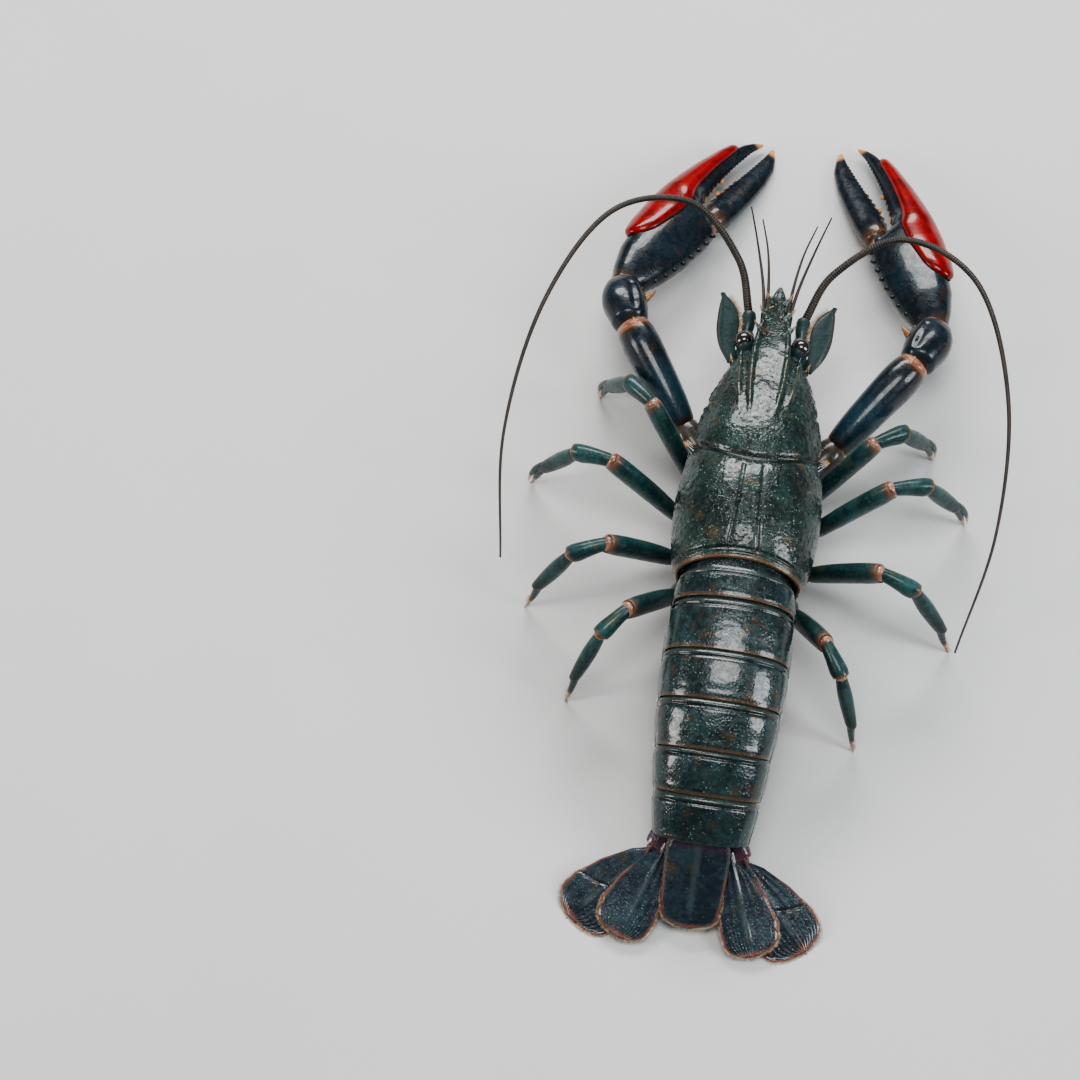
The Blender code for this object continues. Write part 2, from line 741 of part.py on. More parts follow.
def build_claw_arm(label, side):
    """Base, upper arm, wrist, claw with its red swelling, and the movable finger."""
    base, root_normal = limb_base(CLAW_BASE_Y, side)
    places = {k: at(*v, side) for k, v in CLAW_ARM.items()}
    parts = [
        ([base, base.lerp(places["coxa"], 0.6)], [(2.8, 2.2), (3.2, 2.5)]),
        segment(places["coxa"], places["ischium"], (3.6, 3.4), ARM_ISCHIUM_SHAPE),
        segment(places["ischium"], places["merus"], (4.1, 5.2), ARM_MERUS_SHAPE),
    ]
    path, sizes = chain(parts)
    bend = halfway(places["ischium"], places["merus"], places["carpus"])
    rings = tube_rings(path, sizes, UP, 12, first=root_normal, last=bend)
    pieces = [loft(rings)]
    arm = places["merus"] - places["ischium"]
    for share in (0.35, 0.6, 0.85):
        root = places["ischium"] + arm * share + at(-2.6, 0, -2.6, side)
        pieces.append(cone(root, root + at(-1.5, -1.4, -2.2, side), 0.9))
    fuse(f"claw_arm_{label}", pieces, "claw_shell")

    frame = claw_frame(label, side)
    start = places["merus"] + bend * GAP
    wrist_gap = frame[0] - frame[1] * GAP
    path, sizes = segment(start, wrist_gap, (5.0, 5.0), WRIST_SHAPE)
    pieces = [loft(tube_rings(path, sizes, UP, 12, first=bend, last=frame[1]))]
    root = start.lerp(wrist_gap, 0.62) + at(-3.6, 0, 1.4, side)
    pieces.append(cone(root, root + at(-3.0, -2.6, 0.6, side), 1.2))
    fuse(f"claw_wrist_{label}", pieces, "claw_shell")

    claw = finish(f"claw_{label}", loft(claw_rings(frame, CLAW), floor=True), "claw_shell")
    cut_by(claw, loft(patch_rings(frame, socket=True)))
    finish(f"claw_red_{label}", loft(patch_rings(frame)), "claw_red")

    origin, along, inner, thick = frame
    hinge = origin + along * ((FINGER_HINGE[0] + 1.0) * MM) + inner * FINGER_HINGE[1] * MM
    turn = math.radians(CLAW_OPEN[label])
    opened = (along * math.cos(turn) + inner * math.sin(turn)).normalized()
    across = (inner * math.cos(turn) - along * math.sin(turn)).normalized()
    finger = (hinge, opened, across, thick)
    finish(f"claw_finger_{label}", loft(claw_rings(finger, FINGER, count=12), floor=True), "claw_shell")


# Walking legs

# How a leg's lengths swell: share of the length, share of the full size
LEG_SHAPES = {
    "ischium": ((0.0, 0.95), (0.45, 1.05), (0.95, 0.84)),
    "merus": ((0.10, 0.86), (0.45, 1.0), (0.88, 1.0), (0.985, 0.86)),
    "carpus": ((0.0, 0.95), (0.4, 1.0), (0.9, 1.02)),
    "propodus": ((0.10, 0.92), (0.5, 1.05), (0.94, 0.90)),
    "dactyl": ((0.12, 0.95), (0.5, 0.8), (0.9, 0.55), (1.0, 0.42)),
}


def leg_places(number, label, side):
    """The joints of one walking leg, from its base to the foot."""
    leg = LEGS[number]
    turn, size = leg[label]
    base = limb_base(leg["y"], side)[0]
    coxa = base + at(3.9, 0.012 * turn, -3.1, side)
    heading = Vector((side * math.cos(math.radians(turn)), math.sin(math.radians(turn)), 0))
    places = {"base": base, "coxa": coxa}
    for joint, (reach, height) in LEG_JOINTS.items():
        run = (reach - 4.0) * size
        rise = height if height < 10 else 9.2 + (height - 9.2) * size
        places[joint] = Vector((coxa.x, coxa.y, 0)) + heading * run * MM + UP * rise * MM
    return places


def leg_length(a, b, name):
    """Stations of one length of a leg between two joints."""
    return segment(a, b, LEG_SIZES[name], LEG_SHAPES[name])


def build_leg(number, label, side):
    """One walking leg in two lengths that meet at the knee."""
    p = leg_places(number, label, side)
    root_normal = limb_base(LEGS[number]["y"], side)[1]
    knee = halfway(p["ischium"], p["merus"], p["carpus"])
    upper = [
        ([p["base"], p["base"].lerp(p["coxa"], 0.55)], [(2.5, 2.2), (2.75, 2.5)]),
        leg_length(p["coxa"], p["ischium"], "ischium"),
        leg_length(p["ischium"], p["merus"], "merus"),
    ]
    path, sizes = chain(upper)
    rings = tube_rings(path, sizes, UP, 8, first=root_normal, last=knee)
    finish(f"leg_{number}_upper_{label}", loft(rings), "leg_shell")

    start = p["merus"] + knee * GAP
    lower = [
        leg_length(start, p["carpus"], "carpus"),
        leg_length(p["carpus"], p["propodus"], "propodus"),
        leg_length(p["propodus"], p["dactyl"], "dactyl"),
    ]
    path, sizes = chain(lower)
    rings = tube_rings(path, sizes, UP, 8, first=knee)
    pieces = [loft(rings, floor=True)]
    if LEGS[number]["pincer"]:
        along = (p["dactyl"] - p["propodus"]).normalized()
        out = Vector((along.x, along.y, 0)).normalized()
        root = p["propodus"] - along * 2.2 * MM + out * 0.75 * MM
        tip = p["dactyl"] - along * 1.0 * MM + out * 1.35 * MM
        elbow = root.lerp(tip, 0.5) + out * 0.65 * MM
        sizes = [(0.75, 0.6), (0.6, 0.45), (0.25, 0.25)]
        pieces.append(loft(tube_rings([root, elbow, tip], sizes, UP, 6)))
    name = f"leg_{number}_lower_{label}"
    if len(pieces) > 1:
        fuse(name, pieces, "leg_shell")
    else:
        finish(name, pieces[0], "leg_shell")


# Abdomen and tail fan

AXIS_Z = 27.0
AXIS_STEPS = 118
# Segment ends along the abdomen's axis, in millimetres from the carapace
SEGMENT_ENDS = (0.0, 6.0, 17.5, 28.0, 38.5, 48.0, ABDOMEN_LENGTH)
# Abdomen stations: distance, half width, height of back, depth of belly, drop of side flaps
ABDOMEN = (
    (0.0, 12.6, 9.8, 7.0, 9.0),
    (6.0, 13.6, 9.9, 7.0, 11.5),
    (17.5, 14.1, 9.7, 6.4, 13.2),
    (28.0, 13.7, 9.2, 5.8, 12.4),
    (38.5, 12.9, 8.4, 5.2, 11.4),
    (48.0, 12.0, 7.6, 4.6, 10.2),
    (59.0, 10.6, 6.4, 3.8, 7.6),
)
FLAP_SHARE = (0.0, 0.25, 1.0, 1.0, 0.95, 0.9, 0.55)
FLAP_THICK = 1.3
# How the side flap of a segment hangs from front to back: share of length, share of drop
FLAP_SHAPE = ((0.0, 0.10), (0.12, 0.62), (0.34, 0.96), (0.60, 0.98), (0.84, 0.62), (1.0, 0.14))


def axis_frame(reach):
    """Place and direction on the abdomen's axis, which bends down towards the tail."""
    y, z, step = CARAPACE_LENGTH + 0.3, AXIS_Z, ABDOMEN_LENGTH / AXIS_STEPS
    travelled = 0.0
    while travelled < reach - 1e-9:
        move = min(step, reach - travelled)
        slope = axis_slope(travelled + move / 2)
        y += math.cos(slope) * move
        z -= math.sin(slope) * move
        travelled += move
    slope = axis_slope(reach)
    along = Vector((0, math.cos(slope), -math.sin(slope)))
    normal = Vector((0, math.sin(slope), math.cos(slope)))
    return at(0, y, z), along, normal


def axis_slope(reach):
    share = max(0.0, reach) / ABDOMEN_LENGTH
    return math.radians(2.0 + 29.0 * share**1.3)


def abdomen_ring(reach, flap, tuck):
    """One cross-section: arched back, hanging side flaps and the sunk belly between them."""
    centre, _, normal = axis_frame(reach)
    half, back, belly, drop = smooth(ABDOMEN, reach)
    half, back = half - tuck, back - tuck
    low = -belly - 0.4 - (drop - belly) * flap
    side = [
        (0.0, -belly),
        (half * 0.45, -belly + 0.1),
        (half - FLAP_THICK - 1.6, -belly - 0.1),
        (half - FLAP_THICK - 0.5, min(low + 0.9, -belly - 0.25)),
        (half - FLAP_THICK * 0.4, low),
        (half + 0.15, low + 0.9),
        (half + 0.2, -1.6),
    ]
    for i in range(1, 7):
        turn = math.pi / 2 * i / 6
        side.append((half * math.cos(turn) ** 0.9, back * math.sin(turn) ** 0.9))
    side[-1] = (0.0, back)
    across = side + [(-x, z) for x, z in side[-2:0:-1]]
    return [centre + Vector((x * MM, 0, 0)) + normal * (z * MM) for x, z in across]


def swimmeret(reach, side, spread):
    """One flat blade of a swimmeret, from the belly backwards."""
    centre, along, normal = axis_frame(reach)
    belly = smooth(ABDOMEN, reach)[2]
    out = Vector((side, 0, 0))
    root = centre + out * 6.2 * MM - normal * (belly - 1.2) * MM
    elbow = root - normal * 3.6 * MM + along * 0.4 * MM + out * spread * 0.35 * MM
    tip = elbow + along * 10.4 * MM - normal * 1.3 * MM + out * spread * MM
    path = [root, elbow, elbow.lerp(tip, 0.4), elbow.lerp(tip, 0.75), tip]
    sizes = [(0.9, 0.7), (1.1, 0.6), (1.6, 0.42), (1.4, 0.38), (0.4, 0.3)]
    return loft(tube_rings(path, sizes, normal, 6))


def build_abdomen():
    for index in range(6):
        start, end = SEGMENT_ENDS[index], SEGMENT_ENDS[index + 1]
        inner_start = start + (0.3 if index else 0.0)
        rings = []
        for share, hang in FLAP_SHAPE:
            reach = inner_start + (end - inner_start) * share
            tuck = 0.75 * (1 - min(1, share / 0.3)) + 0.35 * max(0, share - 0.85) / 0.15
            rings.append(abdomen_ring(reach, hang * FLAP_SHARE[index + 1], tuck))
        name = f"abdomen_{index + 1}"
        pieces = [loft(rings)]
        if 1 <= index <= 4:
            middle = (inner_start + end) / 2 - 1.0
            for side in SIDES.values():
                pieces.append(swimmeret(middle, side, 1.9))
                pieces.append(swimmeret(middle, side, -1.7))
            fuse(name, pieces, "tail_shell")
        else:
            finish(name, pieces[0], "tail_shell")


def plate_rings(root, along_angle, spread, length, outline, thick, camber, roll, curl, count=12):
    """A tail plate: ovals across its width, set along a line that bends up towards its tip.

    outline gives share of length, inner reach and outer reach; spread turns it sideways.
    """
    side = 1 if spread >= 0 else -1
    heading = math.radians(spread)
    place, travelled, rings = root.copy(), 0.0, []
    for share, inner, outer in outline:
        slope = math.radians(along_angle + curl * share)
        step = (share - travelled) * length
        level = Vector((math.sin(heading), math.cos(heading), 0))
        along = (level * math.cos(slope) + UP * math.sin(slope)).normalized()
        place = place + along * step * MM
        travelled = share
        across = Vector((math.cos(heading), -math.sin(heading), 0)) * side
        across = Matrix.Rotation(math.radians(-roll * side), 3, along) @ across
        normal = across.cross(along).normalized()
        if normal.z < 0:
            normal = -normal
        here = thick * (1.0 - 0.55 * share)
        rings.append(plate_ring(place, across, normal, inner, outer, here, camber, count))
    return rings


def plate_ring(place, across, normal, inner, outer, thick, camber, count):
    """A thin bowed section from -inner to outer."""
    half = count // 2
    top, under = [], []
    for i in range(half):
        u = -1 + 2 * i / (half - 1)
        x = (-inner if u < 0 else outer) * abs(u)
        bow = camber * (1 - u * u)
        edge = 0.45 + 0.55 * (1 - u * u)
        top.append(place + across * x * MM + normal * (bow + thick * edge / 2) * MM)
        under.append(place + across * x * MM + normal * (bow - thick * edge / 2) * MM)
    return top + under[::-1]


# Tail plates: share of length, then reach to the inner and to the outer edge
TELSON_OUTLINE = (
    (0.0, 6.6, 6.6),
    (0.15, 7.5, 7.5),
    (0.45, 7.3, 7.3),
    (0.75, 6.9, 6.9),
    (0.9, 5.9, 5.9),
    (0.975, 4.0, 4.0),
    (1.0, 2.2, 2.2),
)
INNER_OUTLINE = (
    (0.0, 1.6, 1.4),
    (0.12, 3.4, 3.4),
    (0.42, 5.1, 6.2),
    (0.7, 5.7, 7.3),
    (0.88, 5.2, 6.5),
    (0.97, 3.8, 4.5),
    (1.0, 2.0, 2.6),
)
OUTER_OUTLINE = (
    (0.0, 1.4, 1.2),
    (0.12, 4.0, 3.2),
    (0.42, 7.6, 5.8),
    (0.7, 8.6, 6.9),
    (0.88, 7.4, 6.4),
    (0.97, 4.9, 4.5),
    (1.0, 2.5, 2.5),
)


def build_tail_fan():
    centre, along, normal = axis_frame(ABDOMEN_LENGTH)
    root = centre + along * GAP + normal * 2.2 * MM
    rings = plate_rings(root, -38, 0, TELSON_LENGTH, TELSON_OUTLINE, 3.0, 0.9, 0, 10)
    finish("telson", loft(rings), "tail_shell")
    for label, side in SIDES.items():
        out = Vector((side, 0, 0))
        base = centre + along * GAP + out * 6.6 * MM - normal * 2.4 * MM
        knuckle = base + along * 3.2 * MM + out * 2.4 * MM
        rings = tube_rings(
            [base, base.lerp(knuckle, 0.5), knuckle],
            [(2.7, 1.4), (3.2, 1.7), (2.7, 1.4)],
            normal,
            8,
            first=along,
        )
        finish(f"tail_base_{label}", loft(rings), "tail_shell")
        root = knuckle + BACK * 1.5 * MM + UP * 0.7 * MM - out * 1.2 * MM
        rings = plate_rings(root, -25, 21 * side, 21.5, INNER_OUTLINE, 1.1, 0.5, 6, 11)
        finish(f"tail_inner_{label}", loft(rings, floor=True), "tail_shell")
        root = knuckle + BACK * 1.2 * MM - UP * 1.1 * MM + out * 1.6 * MM
        rings = plate_rings(root, -23.2, 46 * side, 23.5, OUTER_OUTLINE, 1.1, 0.3, 8, 10)
        finish(f"tail_outer_{label}", loft(rings, floor=True), "tail_shell")


def stand_over_origin():
    """Moves the whole animal so that its bounding box stands centred over the origin."""
    root = bpy.data.objects.new("crayfish", None)
    bpy.context.scene.collection.objects.link(root)
    solids = [o for o in bpy.data.objects if o.type == "MESH"]
    corners = [v.co for o in solids for v in o.data.vertices]
    middle = [(min(c[i] for c in corners) + max(c[i] for c in corners)) / 2 for i in range(2)]
    for obj in solids:
        obj.parent = root
    root.location = (-middle[0], -middle[1], 0)


def main():
    clear_scene()
    build_carapace()
    build_sternum()
    build_mouth()
    for label, side in SIDES.items():
        build_eye(label, side)
        build_antennule(label, side)
        build_antenna(label, side)
        build_antennal_scale(label, side)
        build_maxilliped(label, side)
        build_claw_arm(label, side)
        for number in LEGS:
            build_leg(number, label, side)
    build_abdomen()
    build_tail_fan()
    stand_over_origin()


main()
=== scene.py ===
import math
import random

import bpy
import numpy as np
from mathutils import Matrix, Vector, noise


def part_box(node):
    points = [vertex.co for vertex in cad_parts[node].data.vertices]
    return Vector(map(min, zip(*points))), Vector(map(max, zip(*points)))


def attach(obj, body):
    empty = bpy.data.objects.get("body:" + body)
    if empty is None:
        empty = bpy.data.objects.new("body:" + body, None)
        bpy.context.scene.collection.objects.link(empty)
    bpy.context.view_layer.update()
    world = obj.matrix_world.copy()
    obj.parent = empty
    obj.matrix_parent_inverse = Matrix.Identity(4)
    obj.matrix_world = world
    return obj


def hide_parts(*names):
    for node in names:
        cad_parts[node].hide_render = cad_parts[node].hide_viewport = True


# Male freshwater crayfish of the red-clawed kind, a still life-size model that stands on its legs.
# The head points to -Y and the left side is +X. Sizes are millimetres on the animal: Y runs back
# from the eye sockets, Z up from the floor, and X out from the middle.
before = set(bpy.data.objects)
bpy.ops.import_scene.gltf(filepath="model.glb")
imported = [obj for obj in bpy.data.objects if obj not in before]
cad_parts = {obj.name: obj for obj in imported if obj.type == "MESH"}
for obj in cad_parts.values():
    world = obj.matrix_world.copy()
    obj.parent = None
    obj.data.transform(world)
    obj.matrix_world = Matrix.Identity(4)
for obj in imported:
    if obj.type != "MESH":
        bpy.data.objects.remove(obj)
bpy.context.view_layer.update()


# Head-and-thorax shell. One hard, limy cover over the head and the gills, drawn out in front into
# the beak between the eyes. It is lofted from the animal's stations, fused with its beak and
# spines into one skin, and its keels, grooves and grain are then pressed into that skin.
MM = 0.001
SHELL_LENGTH = 55.0
shell_low, shell_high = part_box("carapace")
ORIGIN = np.array(((shell_low.x + shell_high.x) / 2, shell_high.y - SHELL_LENGTH * MM, 0.0))
UP = np.array((0.0, 0.0, 1.0))
FORWARD = np.array((0.0, -1.0, 0.0))
SIDES = {"left": 1, "right": -1}

# Stations: y, half width, top z, widest z, edge x, edge z, belly z
SHELL = (
    (-0.5, 7.8, 33.6, 28.0, 4.4, 21.6, 21.8),
    (5.0, 10.6, 35.6, 27.5, 6.0, 18.6, 19.8),
    (12.0, 13.0, 37.6, 26.8, 8.2, 16.2, 18.8),
    (20.0, 14.8, 39.1, 26.2, 11.0, 14.2, 18.2),
    (28.5, 16.0, 39.5, 25.9, 12.4, 13.1, 17.9),
    (34.0, 16.6, 40.2, 25.8, 12.8, 12.9, 17.8),
    (40.0, 16.8, 40.4, 25.8, 12.9, 12.8, 17.8),
    (46.0, 16.4, 39.9, 26.0, 12.6, 13.4, 18.0),
    (52.0, 15.4, 38.6, 26.6, 11.6, 15.2, 21.0),
    (SHELL_LENGTH, 14.4, 37.4, 27.2, 10.4, 17.4, 23.4),
)
# Beak stations: y, half width, top z, under z
BEAK = (
    (-17.0, 0.3, 36.2, 35.6),
    (-15.5, 1.2, 35.7, 34.6),
    (-12.5, 2.5, 35.2, 33.7),
    (-8.0, 3.6, 34.9, 33.0),
    (-3.0, 4.5, 35.0, 32.4),
    (2.0, 4.9, 35.3, 32.0),
    (7.0, 4.6, 35.6, 32.0),
)
BEAK_RIM = 0.62
BEAK_SPINES_Y = (-6.5, -10.5, -14.0)
# Spines behind the eye and on the cheek: foot, then the way from there to the point
EYE_SPINE_FOOT, EYE_SPINE_WAY = (6.6, 3.6), (0.4, -4.6, 0.9)
CHEEK_SPINE_FOOT, CHEEK_SPINE_WAY = (8.2, 2.0, 28.4), (1.3, -4.1, 0.5)
HEAD_SPINE_RADIUS = 0.85
# Spines behind the neck groove, one above the other: y, z and radius
SIDE_SPINES = ((25.9, 30.4, 1.10), (24.0, 27.0, 1.20), (22.2, 24.0, 1.05))
SIDE_SPINE_WAY = (3.1, -2.7, 0.45)
# Keels behind the beak: y, distance from the middle
OUTER_KEEL = ((1.4, 6.6), (5.0, 6.5), (10.0, 6.1), (17.0, 5.4))
INNER_KEEL = ((-2.0, 4.1), (3.0, 3.9), (8.0, 3.7), (13.0, 3.3), (20.0, 2.7))
# Powers of the arched outline: below 1 it is fuller than an ellipse
ARCH_ACROSS, ARCH_UP = 0.92, 0.94
# The flank takes this share of the way from the shell's edge to the middle of its back
FLANK_SHARE = 5 / 14
# The neck groove crosses the back here, and runs this far forward down the flanks
GROOVE_Y, GROOVE_FORWARD = 29.0, 14.0
SHELL_GRID = 0.26
RIM_THICK = 0.9


def unit(v):
    v = np.asarray(v, float)
    return v / np.maximum(np.linalg.norm(v, axis=-1, keepdims=True), 1e-9)


def ease(x, low, high):
    """0 up to low, 1 from high on, and a smooth step between them."""
    t = np.clip((np.asarray(x, float) - low) / (high - low), 0, 1)
    return t * t * (3 - 2 * t)


def hump(x, middle, width):
    """A smooth rise of height 1 round its middle."""
    return np.exp(-(((x - middle) / width) ** 2))


def smooth(table, stations):
    """Columns of a table of stations, read elsewhere along smooth curves through its rows."""
    rows = np.array(sorted(table), float)
    s = np.clip(np.asarray(stations, float), rows[0, 0], rows[-1, 0])
    i = np.clip(np.searchsorted(rows[:, 0], s, side="right") - 1, 0, len(rows) - 2)
    a, b = rows[i], rows[i + 1]
    before, after = rows[np.maximum(i - 1, 0)], rows[np.minimum(i + 2, len(rows) - 1)]
    span = b[..., :1] - a[..., :1]
    t = (s[..., None] - a[..., :1]) / span
    slope_a = (b - before) / (b[..., :1] - before[..., :1]) * span
    slope_b = (after - a) / (after[..., :1] - a[..., :1]) * span
    found = (
        (2 * t**3 - 3 * t**2 + 1) * a
        + (t**3 - 2 * t**2 + t) * slope_a
        + (3 * t**2 - 2 * t**3) * b
        + (t**3 - t**2) * slope_b
    )
    return found[..., 1:]


class Form:
    """A mesh in the making: closed shapes in the animal's millimetres, and values on their points."""

    def __init__(self):
        self.points = []
        self.quads = []
        self.tris = []
        self.values = []
        self.count = 0

    def add(self, points, quads, tris, values):
        """Joins one closed shape, turned so that its faces look outwards."""
        points = np.asarray(points, float)
        quads = np.asarray(quads, int).reshape(-1, 4)
        tris = np.asarray(tris, int).reshape(-1, 3)
        corners = np.concatenate([quads[:, [0, 1, 2]], quads[:, [0, 2, 3]], tris])
        if np.linalg.det(points[corners] - points.mean(0)).sum() < 0:
            quads, tris = quads[:, ::-1], tris[:, ::-1]
        values = {k: np.broadcast_to(v, len(points)).astype(float) for k, v in values.items()}
        self.store(points, quads, tris, values)

    def store(self, points, quads, tris, values):
        self.points.append(points)
        self.quads.append(quads + self.count)
        self.tris.append(tris + self.count)
        self.values.append(values)
        self.count += len(points)

    def skin(self, rings, **values):
        """A closed skin over rings of points; each end is drawn together at its middle."""
        rings = np.asarray(rings, float)
        m, n = rings.shape[:2]
        at = np.arange(m * n).reshape(m, n)
        near, far = at[:-1], at[1:]
        quads = np.stack([near, np.roll(near, -1, 1), np.roll(far, -1, 1), far], -1)
        ends = []
        for row, middle in ((at[0], m * n), (at[-1][::-1], m * n + 1)):
            ends.append(np.stack([np.full(n, middle), np.roll(row, -1), row], -1))
        points = np.concatenate([rings.reshape(-1, 3), rings[[0, -1]].mean(1)])
        on_points = {}
        for name, value in values.items():
            value = np.asarray(value, float)
            grid = np.broadcast_to(value if value.ndim != 1 else value[:, None], (m, n))
            on_points[name] = np.concatenate([grid.ravel(), grid[[0, -1]].mean(1)])
        self.add(points, quads, np.concatenate(ends), on_points)

    def plate(self, outer, thick, **values):
        """A closed sheet: a grid of points on its face, and the same grid a thickness below."""
        outer = np.asarray(outer, float)
        m, n = outer.shape[:2]
        thick = np.broadcast_to(thick, (m, n))
        along, across = np.gradient(outer, axis=0), np.gradient(outer, axis=1)
        under = outer - unit(np.cross(along, across)) * thick[..., None]
        at = np.arange(m * n).reshape(m, n)
        face = np.stack([at[:-1, :-1], at[:-1, 1:], at[1:, 1:], at[1:, :-1]], -1).reshape(-1, 4)
        edge = np.concatenate([at[0, :-1], at[:-1, -1], at[-1, :0:-1], at[:0:-1, 0]])
        rim = np.stack([edge, edge + m * n, np.roll(edge, -1) + m * n, np.roll(edge, -1)], -1)
        quads = np.concatenate([face, face[:, ::-1] + m * n, rim])
        on_points = {}
        for name, value in values.items():
            grid = np.broadcast_to(value, (m, n)).ravel()
            on_points[name] = np.concatenate([grid, grid])
        on_points["inside"] = np.repeat((0.0, 1.0), m * n)
        points = np.concatenate([outer.reshape(-1, 3), under.reshape(-1, 3)])
        self.add(points, quads, [], on_points)

    def mesh(self, name):
        points = np.concatenate(self.points) * MM + ORIGIN
        quads, tris = np.concatenate(self.quads), np.concatenate(self.tris)
        loops = np.concatenate([quads.ravel(), tris.ravel()])
        starts = np.concatenate([np.arange(len(quads)) * 4, len(quads) * 4 + np.arange(len(tris)) * 3])
        mesh = bpy.data.meshes.new(name)
        mesh.vertices.add(len(points))
        mesh.vertices.foreach_set("co", points.astype(np.float32).ravel())
        mesh.loops.add(len(loops))
        mesh.loops.foreach_set("vertex_index", loops.astype(np.int32))
        mesh.polygons.add(len(starts))
        mesh.polygons.foreach_set("loop_start", starts.astype(np.int32))
        mesh.update(calc_edges=True)
        for key in sorted({k for values in self.values for k in values}):
            column = [
                values[key] if key in values else np.zeros(len(own))
                for values, own in zip(self.values, self.points)
            ]
            layer = mesh.attributes.new(key, "FLOAT", "POINT")
            layer.data.foreach_set("value", np.concatenate(column).astype(np.float32))
        mesh.shade_smooth()
        return mesh

    def piece(self, name, finish, slot, *nodes):
        """Makes the object, gives it its finish, and lets it stand for its solids."""
        return dress(name, self.mesh(name), finish, slot, *nodes)


def dress(name, mesh, finish, slot, *nodes):
    """Puts a mesh in the scene with its finish, as the look of its solids."""
    obj = bpy.data.objects.new(name, mesh)
    bpy.context.scene.collection.objects.link(obj)
    obj.data.materials.append(finish)
    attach(obj, "root")
    if nodes:
        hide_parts(*nodes)
    return obj


def tube(path, across, upright, up, count):
    """Rings round a bent line, each halving the bend; half sizes are given along the line."""
    path = np.asarray(path, float)
    along = unit(np.gradient(path, axis=0))
    side = unit(np.cross(along, up))
    top = np.cross(side, along)
    turn = np.linspace(0, math.tau, count, endpoint=False)
    wide = np.broadcast_to(across, len(path))[:, None] * np.cos(turn)
    tall = np.broadcast_to(upright, len(path))[:, None] * np.sin(turn)
    return path[:, None] + side[:, None] * wide[..., None] + top[:, None] * tall[..., None]


def horn(form, foot, point, radius, bend=(0, 0, 0), sides=12, **values):
    """A pointed spine; bend pushes the middle of its line aside."""
    t = np.linspace(0, 1, 11)[:, None]
    foot, point, bend = (np.asarray(p, float) for p in (foot, point, bend))
    path = foot * (1 - t) + point * t + bend * 4 * t * (1 - t)
    size = radius * (1 - t[:, 0]) ** 0.8 + 0.03
    up = UP if abs(unit(point - foot)[2]) < 0.8 else FORWARD
    form.skin(tube(path, size, size, up, sides), **values)


def mirrored(points, side):
    return np.asarray(points, float) * (side, 1, 1)


def shell_ring(y):
    """The shell's outline across the body, from the middle of the belly round to that middle again."""
    half, top, widest, edge_x, edge_z, belly = smooth(SHELL, y)
    turn = np.linspace(0, math.pi / 2, 26)
    inner = [
        (0.0, belly),
        (edge_x - 3.4, belly),
        (edge_x - 1.9, (belly + edge_z) / 2),
        (edge_x - RIM_THICK, edge_z + 0.4),
    ]
    side_x = edge_x + (half - edge_x) * np.sin(turn)
    side = np.stack([side_x, widest - (widest - edge_z) * np.cos(turn)], 1)
    height = widest + (top - widest) * np.sin(turn) ** ARCH_UP
    back = np.stack([half * np.cos(turn) ** ARCH_ACROSS, height], 1)
    right = np.concatenate([inner, side, back[1:]])
    ring = np.concatenate([right, right[-2:0:-1] * (-1, 1)])
    return np.insert(ring, 1, y, axis=1)


def back_height(x, y):
    """Height of the arched back beside its middle line."""
    half, top, widest = smooth(SHELL, y).T[:3]
    turn = np.arccos(np.clip(x / half, 0, 1) ** (1 / ARCH_ACROSS))
    return widest + (top - widest) * np.sin(turn) ** ARCH_UP


def beak_height(u, half, top, middle, rim):
    """Height of the beak's top at a share u of its half width: dished between raised rims."""
    full = (top - middle) * (1 - np.clip(u, 0, 1) ** 7)
    return middle + full + rim * hump(u, 0.84, 0.17) - 0.12 * half * (1 - u * u)


def beak_ring(y):
    """The beak's outline across the body, with a bluntly keeled underside."""
    half, top, under = smooth(BEAK, y)
    u = np.linspace(1, -1, 25)
    middle = (top + under) / 2
    roof = beak_height(np.abs(u), half, top, middle, min(BEAK_RIM, half * 0.32))
    floor = middle - (middle - under) * np.sqrt(np.clip(1 - u * u, 0, 1))
    top_line = np.stack([half * u, np.full(len(u), y), roof], 1)
    under_line = np.stack([half * u, np.full(len(u), y), floor], 1)
    return np.concatenate([top_line, under_line[-2:0:-1]])


shell = Form()
rings = [shell_ring(y) for y in np.linspace(SHELL[0][0], SHELL_LENGTH, 110)]
front, back = rings[0], rings[-1]
centre = front.mean(0)
rings = [centre + (front - centre) * 0.86 - (0, 0.35, 0)] + rings
centre = np.array((0, SHELL_LENGTH, 27.0))
pulled = 1 - RIM_THICK / SHELL[-1][1]
for depth in (0.0, 0.7, 1.6):
    rings.append(centre + (back - centre) * pulled - (0, depth, 0))
shell.skin(rings)
shell.skin([beak_ring(y) for y in np.linspace(BEAK[0][0], BEAK[-1][0], 70)])
for side in SIDES.values():
    for y in BEAK_SPINES_Y:
        half, top, under = smooth(BEAK, y)
        root = (half * 0.55, y + 1.4, (top + under) / 2 + 0.2)
        tip = (half + 1.3, y - 2.0, top + 0.55)
        horn(shell, mirrored(root, side), mirrored(tip, side), 0.8, mirrored((0.25, 0.2, -0.05), side))
    eye_foot = (*EYE_SPINE_FOOT, back_height(6.7, 3.4) - 0.25)
    for foot, way in ((eye_foot, EYE_SPINE_WAY), (CHEEK_SPINE_FOOT, CHEEK_SPINE_WAY)):
        point = mirrored(np.add(foot, way), side)
        horn(shell, mirrored(foot, side), point, HEAD_SPINE_RADIUS)


